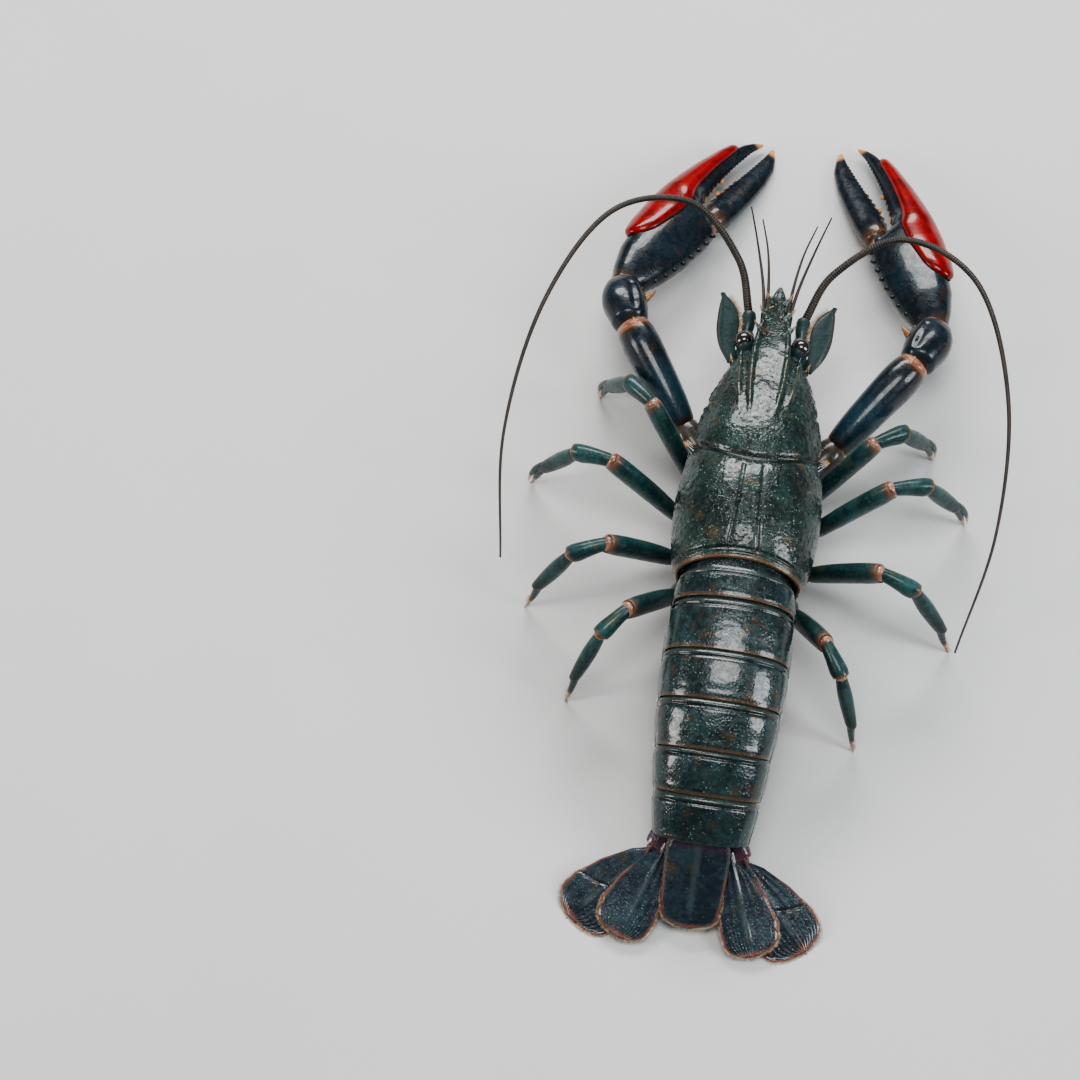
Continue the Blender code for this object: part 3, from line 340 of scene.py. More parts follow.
def fused(form, name, grid, rounds):
    """One closed skin over all of a form's shapes, with its steps smoothed away."""
    obj = bpy.data.objects.new(name, form.mesh(name + "_parts"))
    bpy.context.scene.collection.objects.link(obj)
    remesh = obj.modifiers.new("Fuse", "REMESH")
    remesh.mode = "VOXEL"
    remesh.voxel_size = grid * MM
    remesh.use_smooth_shade = True
    settle = obj.modifiers.new("Settle", "SMOOTH")
    settle.factor = 0.5
    settle.iterations = rounds
    graph = bpy.context.evaluated_depsgraph_get()
    mesh = bpy.data.meshes.new_from_object(obj.evaluated_get(graph))
    mesh.name = name
    bpy.data.objects.remove(obj, do_unlink=True)
    return mesh


def read(store, what):
    found = np.empty(len(store) * 3, np.float32)
    store.foreach_get(what, found)
    return found.reshape(-1, 3).astype(float)


def lumps(points, size, reach=0.55):
    """Rounded grains of one size scattered over a surface, 0 between them and 1 on their tops."""
    near = np.array([noise.voronoi(p)[0][0] for p in points / size])
    return np.clip(1 - (near / reach) ** 2, 0, 1)


def swell(points, size):
    """Gentle unevenness between -1 and 1."""
    return np.array([noise.noise(p) for p in points / size])


def blended_roof(x, y):
    """Height of the back where the beak runs out into it, with no step between the two."""
    half, top, under = smooth(BEAK, y).T
    u = np.clip(x / half, 0, 1.5)
    roof = beak_height(u, half, top, (top + under) / 2, BEAK_RIM)
    roof = roof - 0.5 * ease(y, 1, 9) - 8 * np.clip(u - 1, 0, 1)
    arch = back_height(x, y) - 0.45 * np.clip(-0.5 - y, 0, 20)
    soft = 0.7
    return soft * np.logaddexp(arch / soft, roof / soft)


def press_shell(mesh):
    """Keels, neck groove, gill lines, rims and grain of the shell."""
    normal = read(mesh.vertex_normals, "vector")
    p = (read(mesh.vertices, "co") - ORIGIN) / MM
    x, y = np.abs(p[:, 0]), p[:, 1]
    where = ease(y, -6.0, -2.5) * (1 - ease(y, 9, 14)) * ease(normal[:, 2], 0.35, 0.6)
    where = where * (1 - ease(x, 4.5, 5.5))
    p[:, 2] += where * np.clip(blended_roof(x, y) - p[:, 2], -0.8, 0.8)
    z = p[:, 2]
    half, top, widest, edge_x, edge_z, belly = smooth(SHELL, y).T
    on_back = np.arctan2(np.clip((z - widest) / (top - widest), 0, 9), x / half) / (math.pi / 2)
    on_side = np.arcsin(np.clip((x - edge_x) / (half - edge_x), 0, 1)) / (math.pi / 2)
    share = FLANK_SHARE + (1 - FLANK_SHARE) * on_back
    share = np.where(z > widest, share, FLANK_SHARE * on_side)
    outward = np.sign(p[:, 0]) * normal[:, 0] + 0.6 * normal[:, 2]
    outer = ease(outward, 0.0, 0.35) * ease(y, -0.5, 1.5)
    behind = ease(y, 52.0, 54.5)

    neck_y = GROOVE_Y - GROOVE_FORWARD * (1 - share) ** 1.4
    neck = hump(y, neck_y, 0.85) * ease(share, 0.05, 0.3)
    shoulder = hump(y, neck_y, 2.6) * ease(share, 0.05, 0.3)
    cheek_y = 7.0 + 12.0 * share
    cheek = hump(y, cheek_y, 0.7) * ease(share, 0.22, 0.34) * (1 - ease(share, 0.46, 0.56))
    gill_x = 2.3 + 1.3 * ((y - GROOVE_Y) / 26) ** 2
    gill = hump(x, gill_x, 0.42) * ease(y, neck_y + 0.8, neck_y + 3.0) * (1 - behind)
    gill = gill * ease(z, widest, widest + 4)
    hind_y = 52.7 + (1 - share)
    hind = hump(y, hind_y, 0.36) + 0.45 * hump(y, hind_y + 0.95, 0.2)
    hind = hind + 0.4 * hump(y, hind_y + 1.5, 0.18)
    edge_line = hump(share, 0.085, 0.018) * ease(y, 8, 14) * (1 - behind)
    bead = hump(share, 0.03, 0.035) * ease(y, 8, 14)

    high_up = ease(z, widest + 3, widest + 6)
    outer_keel = hump(x, smooth(OUTER_KEEL, y)[:, 0], 0.62)
    outer_keel = outer_keel * ease(y, 0.5, 2.5) * (1 - ease(y, 9, 17)) * high_up
    inner_keel = hump(x, smooth(INNER_KEEL, y)[:, 0], 0.5)
    inner_keel = inner_keel * ease(y, 0, 2) * (1 - ease(y, 11, 20)) * high_up

    flank = 1 - ease(share, 0.45, 0.8)
    grain = lumps(p, 1.25) * (0.05 + 0.10 * flank)
    cheeks = lumps(p + 40, 2.3, 0.42) * 0.22 * flank
    cheeks = cheeks * (1 - ease(y, neck_y - 2, neck_y)) * ease(y, 3, 8)
    unevenness = swell(p, 5.0) * 0.10 + swell(p + 9, 1.9) * 0.035
    beak_top = swell(p + 21, 2.2) * 0.10 * (1 - ease(y, 0, 6)) * ease(normal[:, 2], 0.4, 0.8)
    push = (
        0.85 * outer_keel
        + 0.62 * inner_keel
        + 0.22 * bead
        - 0.72 * neck
        - 0.34 * shoulder
        - 0.30 * cheek
        - 0.26 * gill
        - 0.34 * hind
        - 0.16 * edge_line
        + (grain + cheeks + unevenness) * (1 - 0.8 * neck) * (1 - behind)
    )
    # Below is the turned-in rim under the shell, which gets a painted shade.
    below = (1 - ease(x, edge_x - 1.1, edge_x - 0.5)) * (1 - ease(z, belly + 0.8, belly + 2.0))
    # The hind edge is drawn forward over the middle of the back.
    drawn = 1.5 * ease(share, 0.45, 0.95) * ease(y, 44, 55)
    p = p + normal * (push * outer + beak_top)[:, None] - np.stack([0 * y, drawn, 0 * y], 1)
    mesh.vertices.foreach_set("co", (p * MM + ORIGIN).astype(np.float32).ravel())
    hind_rim = ease(y, 53.6, 54.8) * ease(share, 0.1, 0.2)
    low_rim = 0.8 * (1 - ease(share, 0.03, 0.1)) * ease(y, 10, 20)
    past_beak = ease(x - smooth(BEAK, y)[:, 0], 0.1, 1.0) * ease(-y, 2.5, 4.0)
    masks = {
        # Painted shade: the groove value darkens the pressed neck, cheek, gill and hind grooves.
        "groove": np.clip(neck + cheek + 0.7 * gill + 0.6 * hind, 0, 1) * outer,
        "rim": np.clip(hind_rim + low_rim, 0, 1) * (1 - below),
        "low": (1 - ease(share, 0.06, 0.42)) * ease(y, 2, 10) * (1 - below),
        # Painted shade: the below value darkens the turned-in rim under the shell.
        "below": below,
        "spine": np.maximum(ease(x - half, 0.3, 1.5), past_beak),
        "hind": hump(y, 54.5, 6.0) * (1 - ease(share, 0.25, 0.5)),
        "keel": np.clip(outer_keel + inner_keel, 0, 1) * outer + (1 - ease(y, -9, 0)) * 0.35,
        "even": 1 - 0.2 * (1 - ease(y, -2, 3)),
    }
    for name, value in masks.items():
        layer = mesh.attributes.new(name, "FLOAT", "POINT")
        layer.data.foreach_set("value", value.astype(np.float32))
    mesh.update()
    return mesh


class Wire:
    """One output in a finish's node tree. Sums on it add the nodes that work them out."""

    def __init__(self, finish, socket):
        self.finish = finish
        self.socket = socket

    def work(self, operation, first, second):
        return self.finish.node("ShaderNodeMath", {"operation": operation}, {0: first, 1: second})

    def __add__(self, other):
        return self.work("ADD", self, other)

    def __radd__(self, other):
        return self.work("ADD", other, self)

    def __sub__(self, other):
        return self.work("SUBTRACT", self, other)

    def __rsub__(self, other):
        return self.work("SUBTRACT", other, self)

    def __mul__(self, other):
        return self.work("MULTIPLY", self, other)

    def __rmul__(self, other):
        return self.work("MULTIPLY", other, self)

    def __pow__(self, other):
        return self.work("POWER", self, other)

    def between(self, low, high):
        """0 up to low and 1 from high on, with a smooth step; a low above high turns it round."""
        return self.finish.node(
            "ShaderNodeMapRange",
            {"interpolation_type": "SMOOTHSTEP"},
            {"Value": self, "From Min": low, "From Max": high},
        )


class Finish:
    """A material in the making: its shader, and one way to add any other node."""

    def __init__(self, name, uniform):
        self.material = bpy.data.materials.new(name)
        self.material.use_nodes = True
        self.tree = self.material.node_tree
        self.shader = self.tree.nodes["Principled BSDF"]
        for socket, value in uniform.items():
            self.shader.inputs[socket].default_value = value
        # Object places are metres, so this scale turns them into millimetres.
        to_mm = {0: self.node("ShaderNodeTexCoord", {}, {}, "Object"), "Scale": 1 / MM}
        self.place = self.node("ShaderNodeVectorMath", {"operation": "SCALE"}, to_mm)

    def node(self, kind, settings, inputs, output=0):
        made = self.tree.nodes.new(kind)
        for name, value in settings.items():
            setattr(made, name, value)
        for name, value in inputs.items():
            self.put(value, made.inputs[name])
        return Wire(self, made.outputs[output])

    def put(self, value, socket):
        if isinstance(value, Wire):
            self.tree.links.new(value.socket, socket)
        else:
            socket.default_value = value

    def mix(self, first, second, share):
        """Two colours, mixed."""
        first, second = (c if isinstance(c, Wire) else (*c, 1) for c in (first, second))
        return self.node("ShaderNodeMix", {"data_type": "RGBA"}, {0: share, 6: first, 7: second}, 2)

    def moved(self, shift):
        """Places shifted by some millimetres, so that two patterns do not fall together."""
        return self.node("ShaderNodeVectorMath", {"operation": "ADD"}, {0: self.place, 1: (shift,) * 3})

    def clouds(self, size, detail=3.0, shift=0.0):
        """Uneven patches about a size across, in millimetres, from 0 to 1."""
        inputs = {"Vector": self.moved(shift), "Scale": 1 / size, "Detail": detail}
        return self.node("ShaderNodeTexNoise", {}, inputs)

    def cells(self, size, shift=0.0):
        """Distance to the nearest of many scattered points, in shares of their spacing."""
        inputs = {"Vector": self.moved(shift), "Scale": 1 / size}
        return self.node("ShaderNodeTexVoronoi", {}, inputs, "Distance")

    def mask(self, name):
        """A value stored on the mesh's points."""
        return self.node("ShaderNodeAttribute", {"attribute_name": name}, {}, "Fac")

    def relief(self, height, depth):
        """Bumps whose full height is given in millimetres."""
        sizes = {"Height": height, "Distance": depth * MM, "Strength": 1.0}
        self.wear("Normal", self.node("ShaderNodeBump", {}, sizes, "Normal"))

    def wear(self, socket, value):
        self.put(value, self.shader.inputs[socket])


def shell_finish(
    name,
    deep,
    lit,
    warm,
    speck,
    masks,
    grain,
    depth,
    rough,
    coat=0.5,
    specks=0.6,
    even=None,
    gloss=0.32,
    drier=None,
):
    """Wet crayfish shell: clouded ground colour, warm stains, pale specks, and a fine grain.

    Each mask lays its tint where its stored value is high; some tints are painted shade, in grooves
    and under other parts. Even damps the grain, and drier thins the film of water.
    """
    # The coat is a film of water.
    water = {"Coat Weight": coat, "Coat Roughness": 0.06, "Coat IOR": 1.33, "Specular IOR Level": gloss}
    finish = Finish(name, water)
    broad = finish.clouds(7.0, 4)
    fine = finish.clouds(1.1, 5, 17.0)
    ground = finish.mix(deep, lit, (0.55 * broad + 0.45 * fine).between(0.40, 0.66))
    stain = finish.clouds(4.2, 5, 51.0).between(0.56, 0.72)
    colour = finish.mix(ground, warm, 0.75 * stain)
    dots = finish.cells(0.95, 8.0).between(0.26, 0.10)
    few = finish.clouds(2.4, 2, 33.0).between(0.46, 0.60)
    colour = finish.mix(colour, speck, specks * dots * few)
    for mask, tint, amount in masks:
        edge = finish.mask(mask) * (0.72 + 0.56 * finish.clouds(0.8, 3, 71.0))
        colour = finish.mix(colour, tint, amount * edge.between(0.12, 0.85))
    finish.wear("Base Color", colour)
    finish.wear("Roughness", rough + 0.20 * finish.clouds(1.7, 4, 5.0).between(0.35, 0.75))
    height = 0.7 * finish.cells(grain, 3.0).between(0.62, 0.05) + 0.3 * finish.clouds(0.35, 2, 12.0)
    finish.relief(height * finish.mask(even) if even else height, depth)
    if drier:
        finish.wear("Coat Weight", coat - 0.85 * coat * finish.mask(drier))
    return finish.material


DEEP_SHELL = (0.005, 0.010, 0.009)
TEAL_SHELL = (0.014, 0.034, 0.029)
PALE_SPECK = (0.22, 0.31, 0.27)
shell_look = shell_finish(
    "wet_back_shell",
    DEEP_SHELL,
    TEAL_SHELL,
    (0.040, 0.030, 0.013),
    PALE_SPECK,
    (
        ("low", (0.034, 0.085, 0.072), 0.7),
        ("hind", (0.15, 0.070, 0.024), 0.75),
        ("rim", (0.090, 0.048, 0.021), 0.75),
        # Painted shade in the grooves
        ("groove", (0.003, 0.005, 0.005), 0.8),
        ("keel", (0.034, 0.036, 0.022), 0.5),
        # Painted shade on the turned-in rim under the shell
        ("below", (0.030, 0.026, 0.016), 0.9),
        ("spine", (0.20, 0.095, 0.040), 0.85),
    ),
    grain=0.62,
    depth=0.085,
    rough=0.22,
    even="even",
)
shell_mesh = press_shell(fused(shell, "back_shell", SHELL_GRID, 3))
dress("back_shell", shell_mesh, shell_look, "shell", "carapace")
side_spines = Form()
pointed = ease(np.linspace(0, 1, 11), 0.35, 0.9)
for side in SIDES.values():
    for y, z, radius in SIDE_SPINES:
        root = np.array((smooth(SHELL, y)[0] - 1.7, y + 0.4, z))
        tip = mirrored(root + SIDE_SPINE_WAY, side)
        horn(side_spines, mirrored(root, side), tip, radius, sides=20, spine=pointed)
side_spines.piece("back_shell_side_spines", shell_look, "shell")


# Breast plate. A narrow limy wedge between the leg bases, ridged between each pair of them. It is
# olive and tan with cream edges, and the legs' first joints sit against its slopes.
BREAST_LOW, BREAST_HIGH, BREAST_TOP = 10.3, 17.2, 8.2
BREAST_FOOT = ((17.5, 2.2), (52.0, 3.4))
LIMB_Z = 14.0
LIMB_Y = (21.5, 28.0, 34.5, 41.0, 47.5)


def breast_foot(y):
    return np.interp(y, *zip(*BREAST_FOOT))


under_look = shell_finish(
    "under_shell",
    (0.034, 0.028, 0.014),
    (0.150, 0.098, 0.044),
    (0.16, 0.060, 0.020),
    (0.36, 0.30, 0.19),
    (
        ("rim", (0.50, 0.40, 0.25), 0.85),
        ("blue", (0.055, 0.100, 0.092), 0.8),
        ("dusk", (0.020, 0.030, 0.026), 0.8),
    ),
    grain=0.9,
    depth=0.05,
    rough=0.22,
    coat=0.7,
    specks=0.3,
)
breast = Form()
stations = np.linspace(BREAST_FOOT[0][0], BREAST_FOOT[1][0], 120)
ridges = sum(hump(stations, y + 3.25, 0.62) for y in LIMB_Y)
rings = []
for y, ridge in zip(stations, ridges):
    foot = breast_foot(y)
    turn = np.linspace(0, 1, 9)
    slope_x = foot + (BREAST_TOP - foot) * turn
    slope_z = BREAST_LOW + (BREAST_HIGH - BREAST_LOW) * turn
    slope = np.stack([slope_x, np.full(len(turn), y), slope_z], 1)
    slope = slope - np.outer(np.sin(turn * math.pi) * (0.7 - ridge), (1, 0, -0.4))
    keel = [(0, y, BREAST_LOW - 0.25 - 0.45 * ridge), (foot * 0.6, y, BREAST_LOW - 0.1 - 0.3 * ridge)]
    right = np.concatenate([keel, slope])
    rings.append(np.concatenate([right, [(0, y, BREAST_HIGH)], right[:0:-1] * (-1, 1, 1)]))
breast.skin(rings, rim=ridges * 0.62)
breast.piece("breast_plate", under_look, "under_shell", "sternum")


# Jaws. The block of mouthparts under the head: a lip plate in front, two hard jaws that meet in
# the middle, and the flat inner jaw legs laid over them, brown and amber with cream edges.

# Stations: y, half width, low and high z
JAWS = (
    (1.0, 3.0, 17.2, 21.2),
    (6.0, 4.6, 14.6, 19.2),
    (12.0, 5.4, 12.6, 18.4),
    (17.1, 5.2, 11.4, 17.6),
)
HARD_JAW = ((3.6, 8.2, 16.6), (2.6, 6.6, 14.8), (1.3, 5.2, 13.9), (0.35, 4.4, 13.8))
# Two flat inner jaw legs a side: hind end, length and half width
INNER_JAW_LEGS = ((1.9, 15.5, 11.6, 9.5, 1.5), (3.9, 15.0, 12.5, 10.5, 1.2))


def squared(wave, power):
    """A sine or cosine to a power, with its sign kept: below 1 an outline fills its corners."""
    return np.sign(wave) * np.abs(wave) ** power


mouth = Form()
rings = []
for y in np.linspace(JAWS[0][0], JAWS[-1][0], 40):
    half, low, high = smooth(JAWS, y)
    turn = np.linspace(-math.pi / 2, math.pi * 1.5, 40, endpoint=False)
    x = half * squared(np.cos(turn), 0.7)
    z = (low + high) / 2 + (high - low) / 2 * squared(np.sin(turn), 0.8)
    rings.append(np.stack([x, np.full(len(turn), y), z], 1))
mouth.skin(rings, blue=0.3)
for side in SIDES.values():
    knots = [(i, *place) for i, place in enumerate(mirrored(HARD_JAW, side))]
    mouth.skin(tube(smooth(knots, np.linspace(0, 3, 16)), 1.5, 1.25, UP, 16), rim=0.2)
    for x, y, z, length, width in INNER_JAW_LEGS:
        t = np.linspace(0, 1, 22)[:, None]
        path = np.array((x, y, z)) * (1 - t) + np.array((x * 0.6, y - length, z + 1.0)) * t
        path[:, 2] -= 0.5 * np.sin(math.pi * t[:, 0])
        size = width * np.sqrt(np.clip(np.sin(math.pi * (0.1 + 0.88 * t[:, 0])), 0, 1))
        flat = tube(mirrored(path, side), size, 0.45 * size + 0.1, UP, 16)
        mouth.skin(flat, rim=ease(t[:, 0], 0.7, 1.0))
mouth.piece("mouthparts", under_look, "under_shell", "jaws")


# Limb lengths. Every limb is a row of hard tubes: each starts narrow and rounded inside the one
# before it and ends in a cuff, with a soft fold of skin between them.
def limb(
    form,
    a,
    b,
    size,
    shape,
    up=UP,
    bow=0.0,
    count=26,
    power=2.15,
    steps=34,
    dome=0.10,
    slant=0.0,
    press=None,
    **values,
):
    """One hard length from a to b; shape scales its half sizes (across, up) along the way.

    Slant draws the upper side of its far end on, and press dents or swells it round its outline.
    """
    a, b = np.asarray(a, float), np.asarray(b, float)
    along = unit(b - a)
    side = unit(np.cross(along, up))
    top = np.cross(side, along)
    t = np.linspace(0, 1, steps)
    scale = smooth(shape, t)[:, 0] * np.sqrt(1 - (1 - np.clip(t / dome, 0.02, 1)) ** 2)
    # The far end turns in on itself, so that the cuff has a thickness and a hollow.
    share = np.concatenate([t, (1.0, 0.99, 0.965, 0.96)])
    scale = np.concatenate([scale, scale[-1] * np.array((0.90, 0.82, 0.76, 0.30))])
    lift = bow * np.sin(math.pi * np.clip(share, 0, 1))
    path = a + np.outer(share, b - a) + np.outer(lift, top)
    turn = np.linspace(0, math.tau, count, endpoint=False)
    wide = size[0] * scale[:, None] * squared(np.cos(turn), 2 / power)
    tall = size[1] * scale[:, None] * squared(np.sin(turn), 2 / power)
    if press:
        swollen = press(np.clip(share, 0, 1)[:, None], turn[None, :]) * ease(share, 0.0, 0.15)[:, None]
        wide, tall = wide + swollen * np.cos(turn), tall + swollen * np.sin(turn)
    drawn = slant * tall * ease(share, 0.55, 1.0)[:, None]
    rings = path[:, None] + side * wide[..., None] + top * tall[..., None] + along * drawn[..., None]
    at_joint = np.clip(hump(share, 1.0, 0.07) + hump(share, 0.0, 0.10), 0, 1)
    marks = {"joint": at_joint, "rim": ease(share, 0.955, 0.99)}
    marks.update({k: (v(share) if callable(v) else v) for k, v in values.items()})
    form.skin(rings, **marks)


def ball(form, centre, size, along=FORWARD, up=UP, **values):
    """A soft rounded fold of joint skin."""
    turn = np.linspace(0.08, math.pi - 0.08, 13)
    path = np.asarray(centre, float) + np.outer(-np.cos(turn) * size[2], unit(along))
    form.skin(tube(path, size[0] * np.sin(turn), size[1] * np.sin(turn), up, 18), **values)


def skin_finish(name, pale, dark, blush):
    """Soft wet skin between hard parts."""
    wet = {"Coat Weight": 0.5, "Coat Roughness": 0.08, "Coat IOR": 1.33}
    finish = Finish(name, {**wet, "Subsurface Weight": 0.2, "Subsurface Scale": MM})
    patches = 0.6 * finish.clouds(3.4, 2) + 0.4 * finish.clouds(1.4, 4, 13.0)
    ground = finish.mix(dark, pale, patches.between(0.36, 0.62))
    stain = finish.clouds(1.7, 4, 20.0).between(0.54, 0.72)
    finish.wear("Base Color", finish.mix(ground, blush, 0.55 * stain))
    finish.wear("Roughness", 0.22 + 0.2 * finish.clouds(0.9, 3, 9.0))
    finish.relief(finish.clouds(0.8, 2, 4.0), 0.10)
    return finish.material


joint_look = skin_finish(
    "joint_skin",
    (0.29, 0.160, 0.105),
    (0.115, 0.046, 0.028),
    (0.32, 0.060, 0.030),
)


# Outer jaw legs. A bent pair of small legs folded forward under the mouth. Their broad first
# lengths lie flat beneath the jaws, and all of them carry rusty-brown bristles on the inner side.
JAW_LEG = (
    (3.1, 16.6, 9.9),
    (3.3, 8.0, 10.2),
    (3.7, -1.0, 13.2),
    (3.4, -7.4, 16.6),
    (2.6, -10.6, 14.2),
    (2.0, -11.4, 10.4),
)
# Half sizes across and up of its five lengths, then how they swell along the way
JAW_LEG_SIZES = ((2.0, 1.45), (1.9, 1.4), (1.4, 1.3), (1.1, 1.15), (0.85, 0.85))
JAW_LEG_SHAPES = (
    ((0, 0.66), (0.2, 0.92), (0.5, 1.06), (0.82, 0.98), (1.0, 0.82)),
    ((0, 0.74), (0.25, 1.0), (0.6, 1.06), (0.88, 0.92), (1.0, 0.74)),
    ((0, 0.74), (0.4, 1.02), (0.8, 1.0), (1.0, 0.80)),
    ((0, 0.74), (0.4, 1.02), (0.8, 0.96), (1.0, 0.78)),
    ((0, 0.95), (0.5, 0.7), (1.0, 0.12)),
)
JAW_LEG_OLIVE = (0.75, 0.45, 0.3, 0.2, 0.1)
JAW_LEG_HAIRS = (150, 200, 160, 140, 90)


def bristles(form, roots, directions, lengths, width, droop=0.0):
    """Fine tapered hairs, each a thin three-sided spike with one bend."""
    roots, lengths = np.asarray(roots, float), np.asarray(lengths, float)[:, None]
    directions = unit(directions)
    side = unit(np.cross(directions, UP + (0.01, 0.02, 0)))
    other = np.cross(directions, side)
    middle = roots + directions * lengths * 0.55
    tip = roots + directions * lengths - UP * droop * lengths
    count = len(roots)
    points = []
    for centre, size in ((roots, width), (middle, width * 0.6)):
        for turn in (0.0, math.tau / 3, 2 * math.tau / 3):
            points.append(centre + (side * math.cos(turn) + other * math.sin(turn)) * size / 2)
    points = np.stack(points + [tip], 1).reshape(-1, 3)
    base = np.arange(count)[:, None] * 7
    quads = np.concatenate([base + q for q in ((0, 1, 4, 3), (1, 2, 5, 4), (2, 0, 3, 5))])
    tris = np.concatenate([base + t for t in ((2, 1, 0), (3, 4, 6), (4, 5, 6), (5, 3, 6))])
    form.store(points, quads, tris, {})


def hair_finish(name, root, tip):
    finish = Finish(name, {"Coat Weight": 0.15, "Coat Roughness": 0.2})
    finish.wear("Base Color", finish.mix(root, tip, finish.clouds(0.9, 3).between(0.4, 0.62)))
    finish.wear("Roughness", 0.42 + 0.2 * finish.clouds(0.5, 2, 6.0))
    finish.relief(finish.clouds(0.25, 2, 2.0), 0.02)
    return finish.material


hair_look = hair_finish("rusty_bristles", (0.11, 0.045, 0.018), (0.30, 0.17, 0.085))
leg_look = shell_finish(
    "leg_shell",
    (0.010, 0.028, 0.029),
    (0.025, 0.070, 0.070),
    (0.040, 0.054, 0.034),
    (0.14, 0.23, 0.21),
    (
        ("root", (0.095, 0.066, 0.030), 0.85),
        ("joint", (0.13, 0.058, 0.030), 0.5),
        ("rim", (0.150, 0.080, 0.045), 0.45),
        ("tip", (0.55, 0.34, 0.26), 0.95),
        ("dusk", (0.014, 0.026, 0.026), 0.75),
    ),
    grain=0.5,
    depth=0.035,
    rough=0.29,
    coat=0.40,
    specks=0.35,
    gloss=0.16,
    drier="dusk",
)
dice = random.Random(7)
for label, side in SIDES.items():
    leg = Form()
    hair = Form()
    places = mirrored(JAW_LEG, side)
    for i, size in enumerate(JAW_LEG_SIZES):
        a, b = places[i], places[i + 1]
        overlap = unit(b - a) * 0.5
        crest = math.radians(270 + 42 * side)

        def keeled(share, turn, crest=crest):
            """A toothed crest along the lower inner edge, and a shallow furrow beside it."""
            teeth = 0.75 + 0.25 * np.cos(share * 50)
            return 0.42 * hump(turn, crest, 0.28) * teeth - 0.28 * hump(turn, 1.5 * math.pi, 0.36)

        limb(
            leg,
            a - overlap,
            b,
            size,
            JAW_LEG_SHAPES[i],
            up=UP if i < 4 else FORWARD,
            bow=-0.35 if i < 2 else 0.0,
            count=48,
            steps=60,
            power=2.2,
            press=keeled if i < 2 else None,
            dusk=0.55,
            root=JAW_LEG_OLIVE[i],
        )
        roots, ways, lengths = [], [], []
        for _ in range(JAW_LEG_HAIRS[i]):
            t = dice.uniform(0.05, 0.98)
            inward = (-side * dice.uniform(0.5, 1.0), dice.uniform(-0.5, 0.3), dice.uniform(-0.7, 0.1))
            inward = np.array(inward)
            roots.append(a + (b - a) * t + inward * (size[0] * 0.6, 0.4, size[1] * 0.6))
            ways.append(inward + unit(b - a) * 0.8)
            lengths.append(dice.uniform(1.3, 3.4))
        bristles(hair, roots, ways, lengths, 0.12, 0.15)
    leg.piece(f"jaw_leg_{label}", leg_look, "leg_shell", f"maxilliped_{label}")
    hair.piece(f"jaw_leg_bristles_{label}", hair_look, "feeler")


# Eyes. Black, glossy balls on short movable stalks that come out under the beak. The stalk is
# dark shell with a paler collar, and the ball is a dome of many tiny lenses under a clear film.
EYE_ROOT = (4.6, 0.2, 29.9)
EYE_MIDDLE = (6.7, -4.4, 30.7)
EYE_RADIUS = 2.35
eye = Finish("eye_lens", {"Coat Weight": 1.0, "Coat Roughness": 0.03, "Coat IOR": 1.38})
facets = eye.cells(0.11)
eye.wear("Base Color", eye.mix((0.006, 0.006, 0.008), (0.020, 0.015, 0.014), eye.clouds(1.2, 3)))
eye.wear("Roughness", 0.08 + 0.1 * facets)
eye.relief(facets.between(0.6, 0.1), 0.0025)
for label, side in SIDES.items():
    root, middle = mirrored(EYE_ROOT, side), mirrored(EYE_MIDDLE, side)
    along = unit(middle - root)
    stalk = Form()
    reach = np.linspace(0, np.linalg.norm(middle - root) - 0.35, 24)
    swollen = 1.35 + 0.75 * ease(reach, 1.2, 4.2) - 0.18 * hump(reach, 2.2, 0.5)
    line = root + np.outer(reach, along)
    stalk.skin(tube(line, swollen, swollen * 1.04, UP, 28), rim=hump(reach, 4.6, 0.5), dusk=1.0)
    stalk.piece(f"eye_stalk_{label}", leg_look, "eye")
    lens = Form()
    turn = np.linspace(math.pi * 0.22, math.pi * 0.995, 36)
    path = middle - np.outer(np.cos(turn) * EYE_RADIUS, along)
    dome = EYE_RADIUS * np.sin(turn)
    lens.skin(tube(path, dome, dome * 1.04, UP, 48))
    lens.piece(f"eye_ball_{label}", eye.material, "eye", f"eye_{label}")


# Small feelers. A stem of three short lengths that forks into two ringed lashes.
damp = {"Coat Weight": 0.2, "Coat Roughness": 0.12, "Coat IOR": 1.33, "Specular IOR Level": 0.3}
feeler = Finish("feeler_horn", damp)
banded = feeler.mask("band") * (0.7 + 0.6 * feeler.clouds(1.5, 3, 2.0))
patches = feeler.clouds(5.0, 3).between(0.4, 0.62)
ground = feeler.mix((0.004, 0.005, 0.005), (0.018, 0.012, 0.008), patches)
feeler.wear("Base Color", feeler.mix(ground, (0.050, 0.030, 0.018), 0.4 * banded.between(0.3, 0.9)))
feeler.wear("Roughness", 0.30 + 0.2 * feeler.clouds(0.6, 3, 7.0))
feeler.relief(feeler.clouds(0.25, 2, 4.0), 0.02)
feeler_look = feeler.material


def lash(form, knots, thick, thin, pitch, sides):
    """A ringed whip through a few knots; its radius swells at every ring."""
    table = tuple((i, *k) for i, k in enumerate(knots))
    fine = smooth(table, np.linspace(0, len(knots) - 1, 400))
    steps = np.linalg.norm(np.diff(fine, axis=0), axis=1)
    run = np.concatenate([[0], np.cumsum(steps)])
    rings = int(run[-1] / pitch)
    shape = ((0.0, 0.86), (0.35, 1.0), (0.8, 1.06), (0.96, 0.9))
    where = np.array([(k + s) * pitch for k in range(rings) for s, _ in shape])
    swell_by = np.array([v for _ in range(rings) for _, v in shape])
    path = np.stack([np.interp(where, run, fine[:, i]) for i in range(3)], 1)
    share = where / run[-1]
    radius = (thick - (thick - thin) * share**0.75) * (1 + (swell_by - 1) * (1 - 0.5 * share))
    form.skin(tube(path, radius, radius, UP, sides), band=np.clip((swell_by - 0.95) * 9, 0, 1))


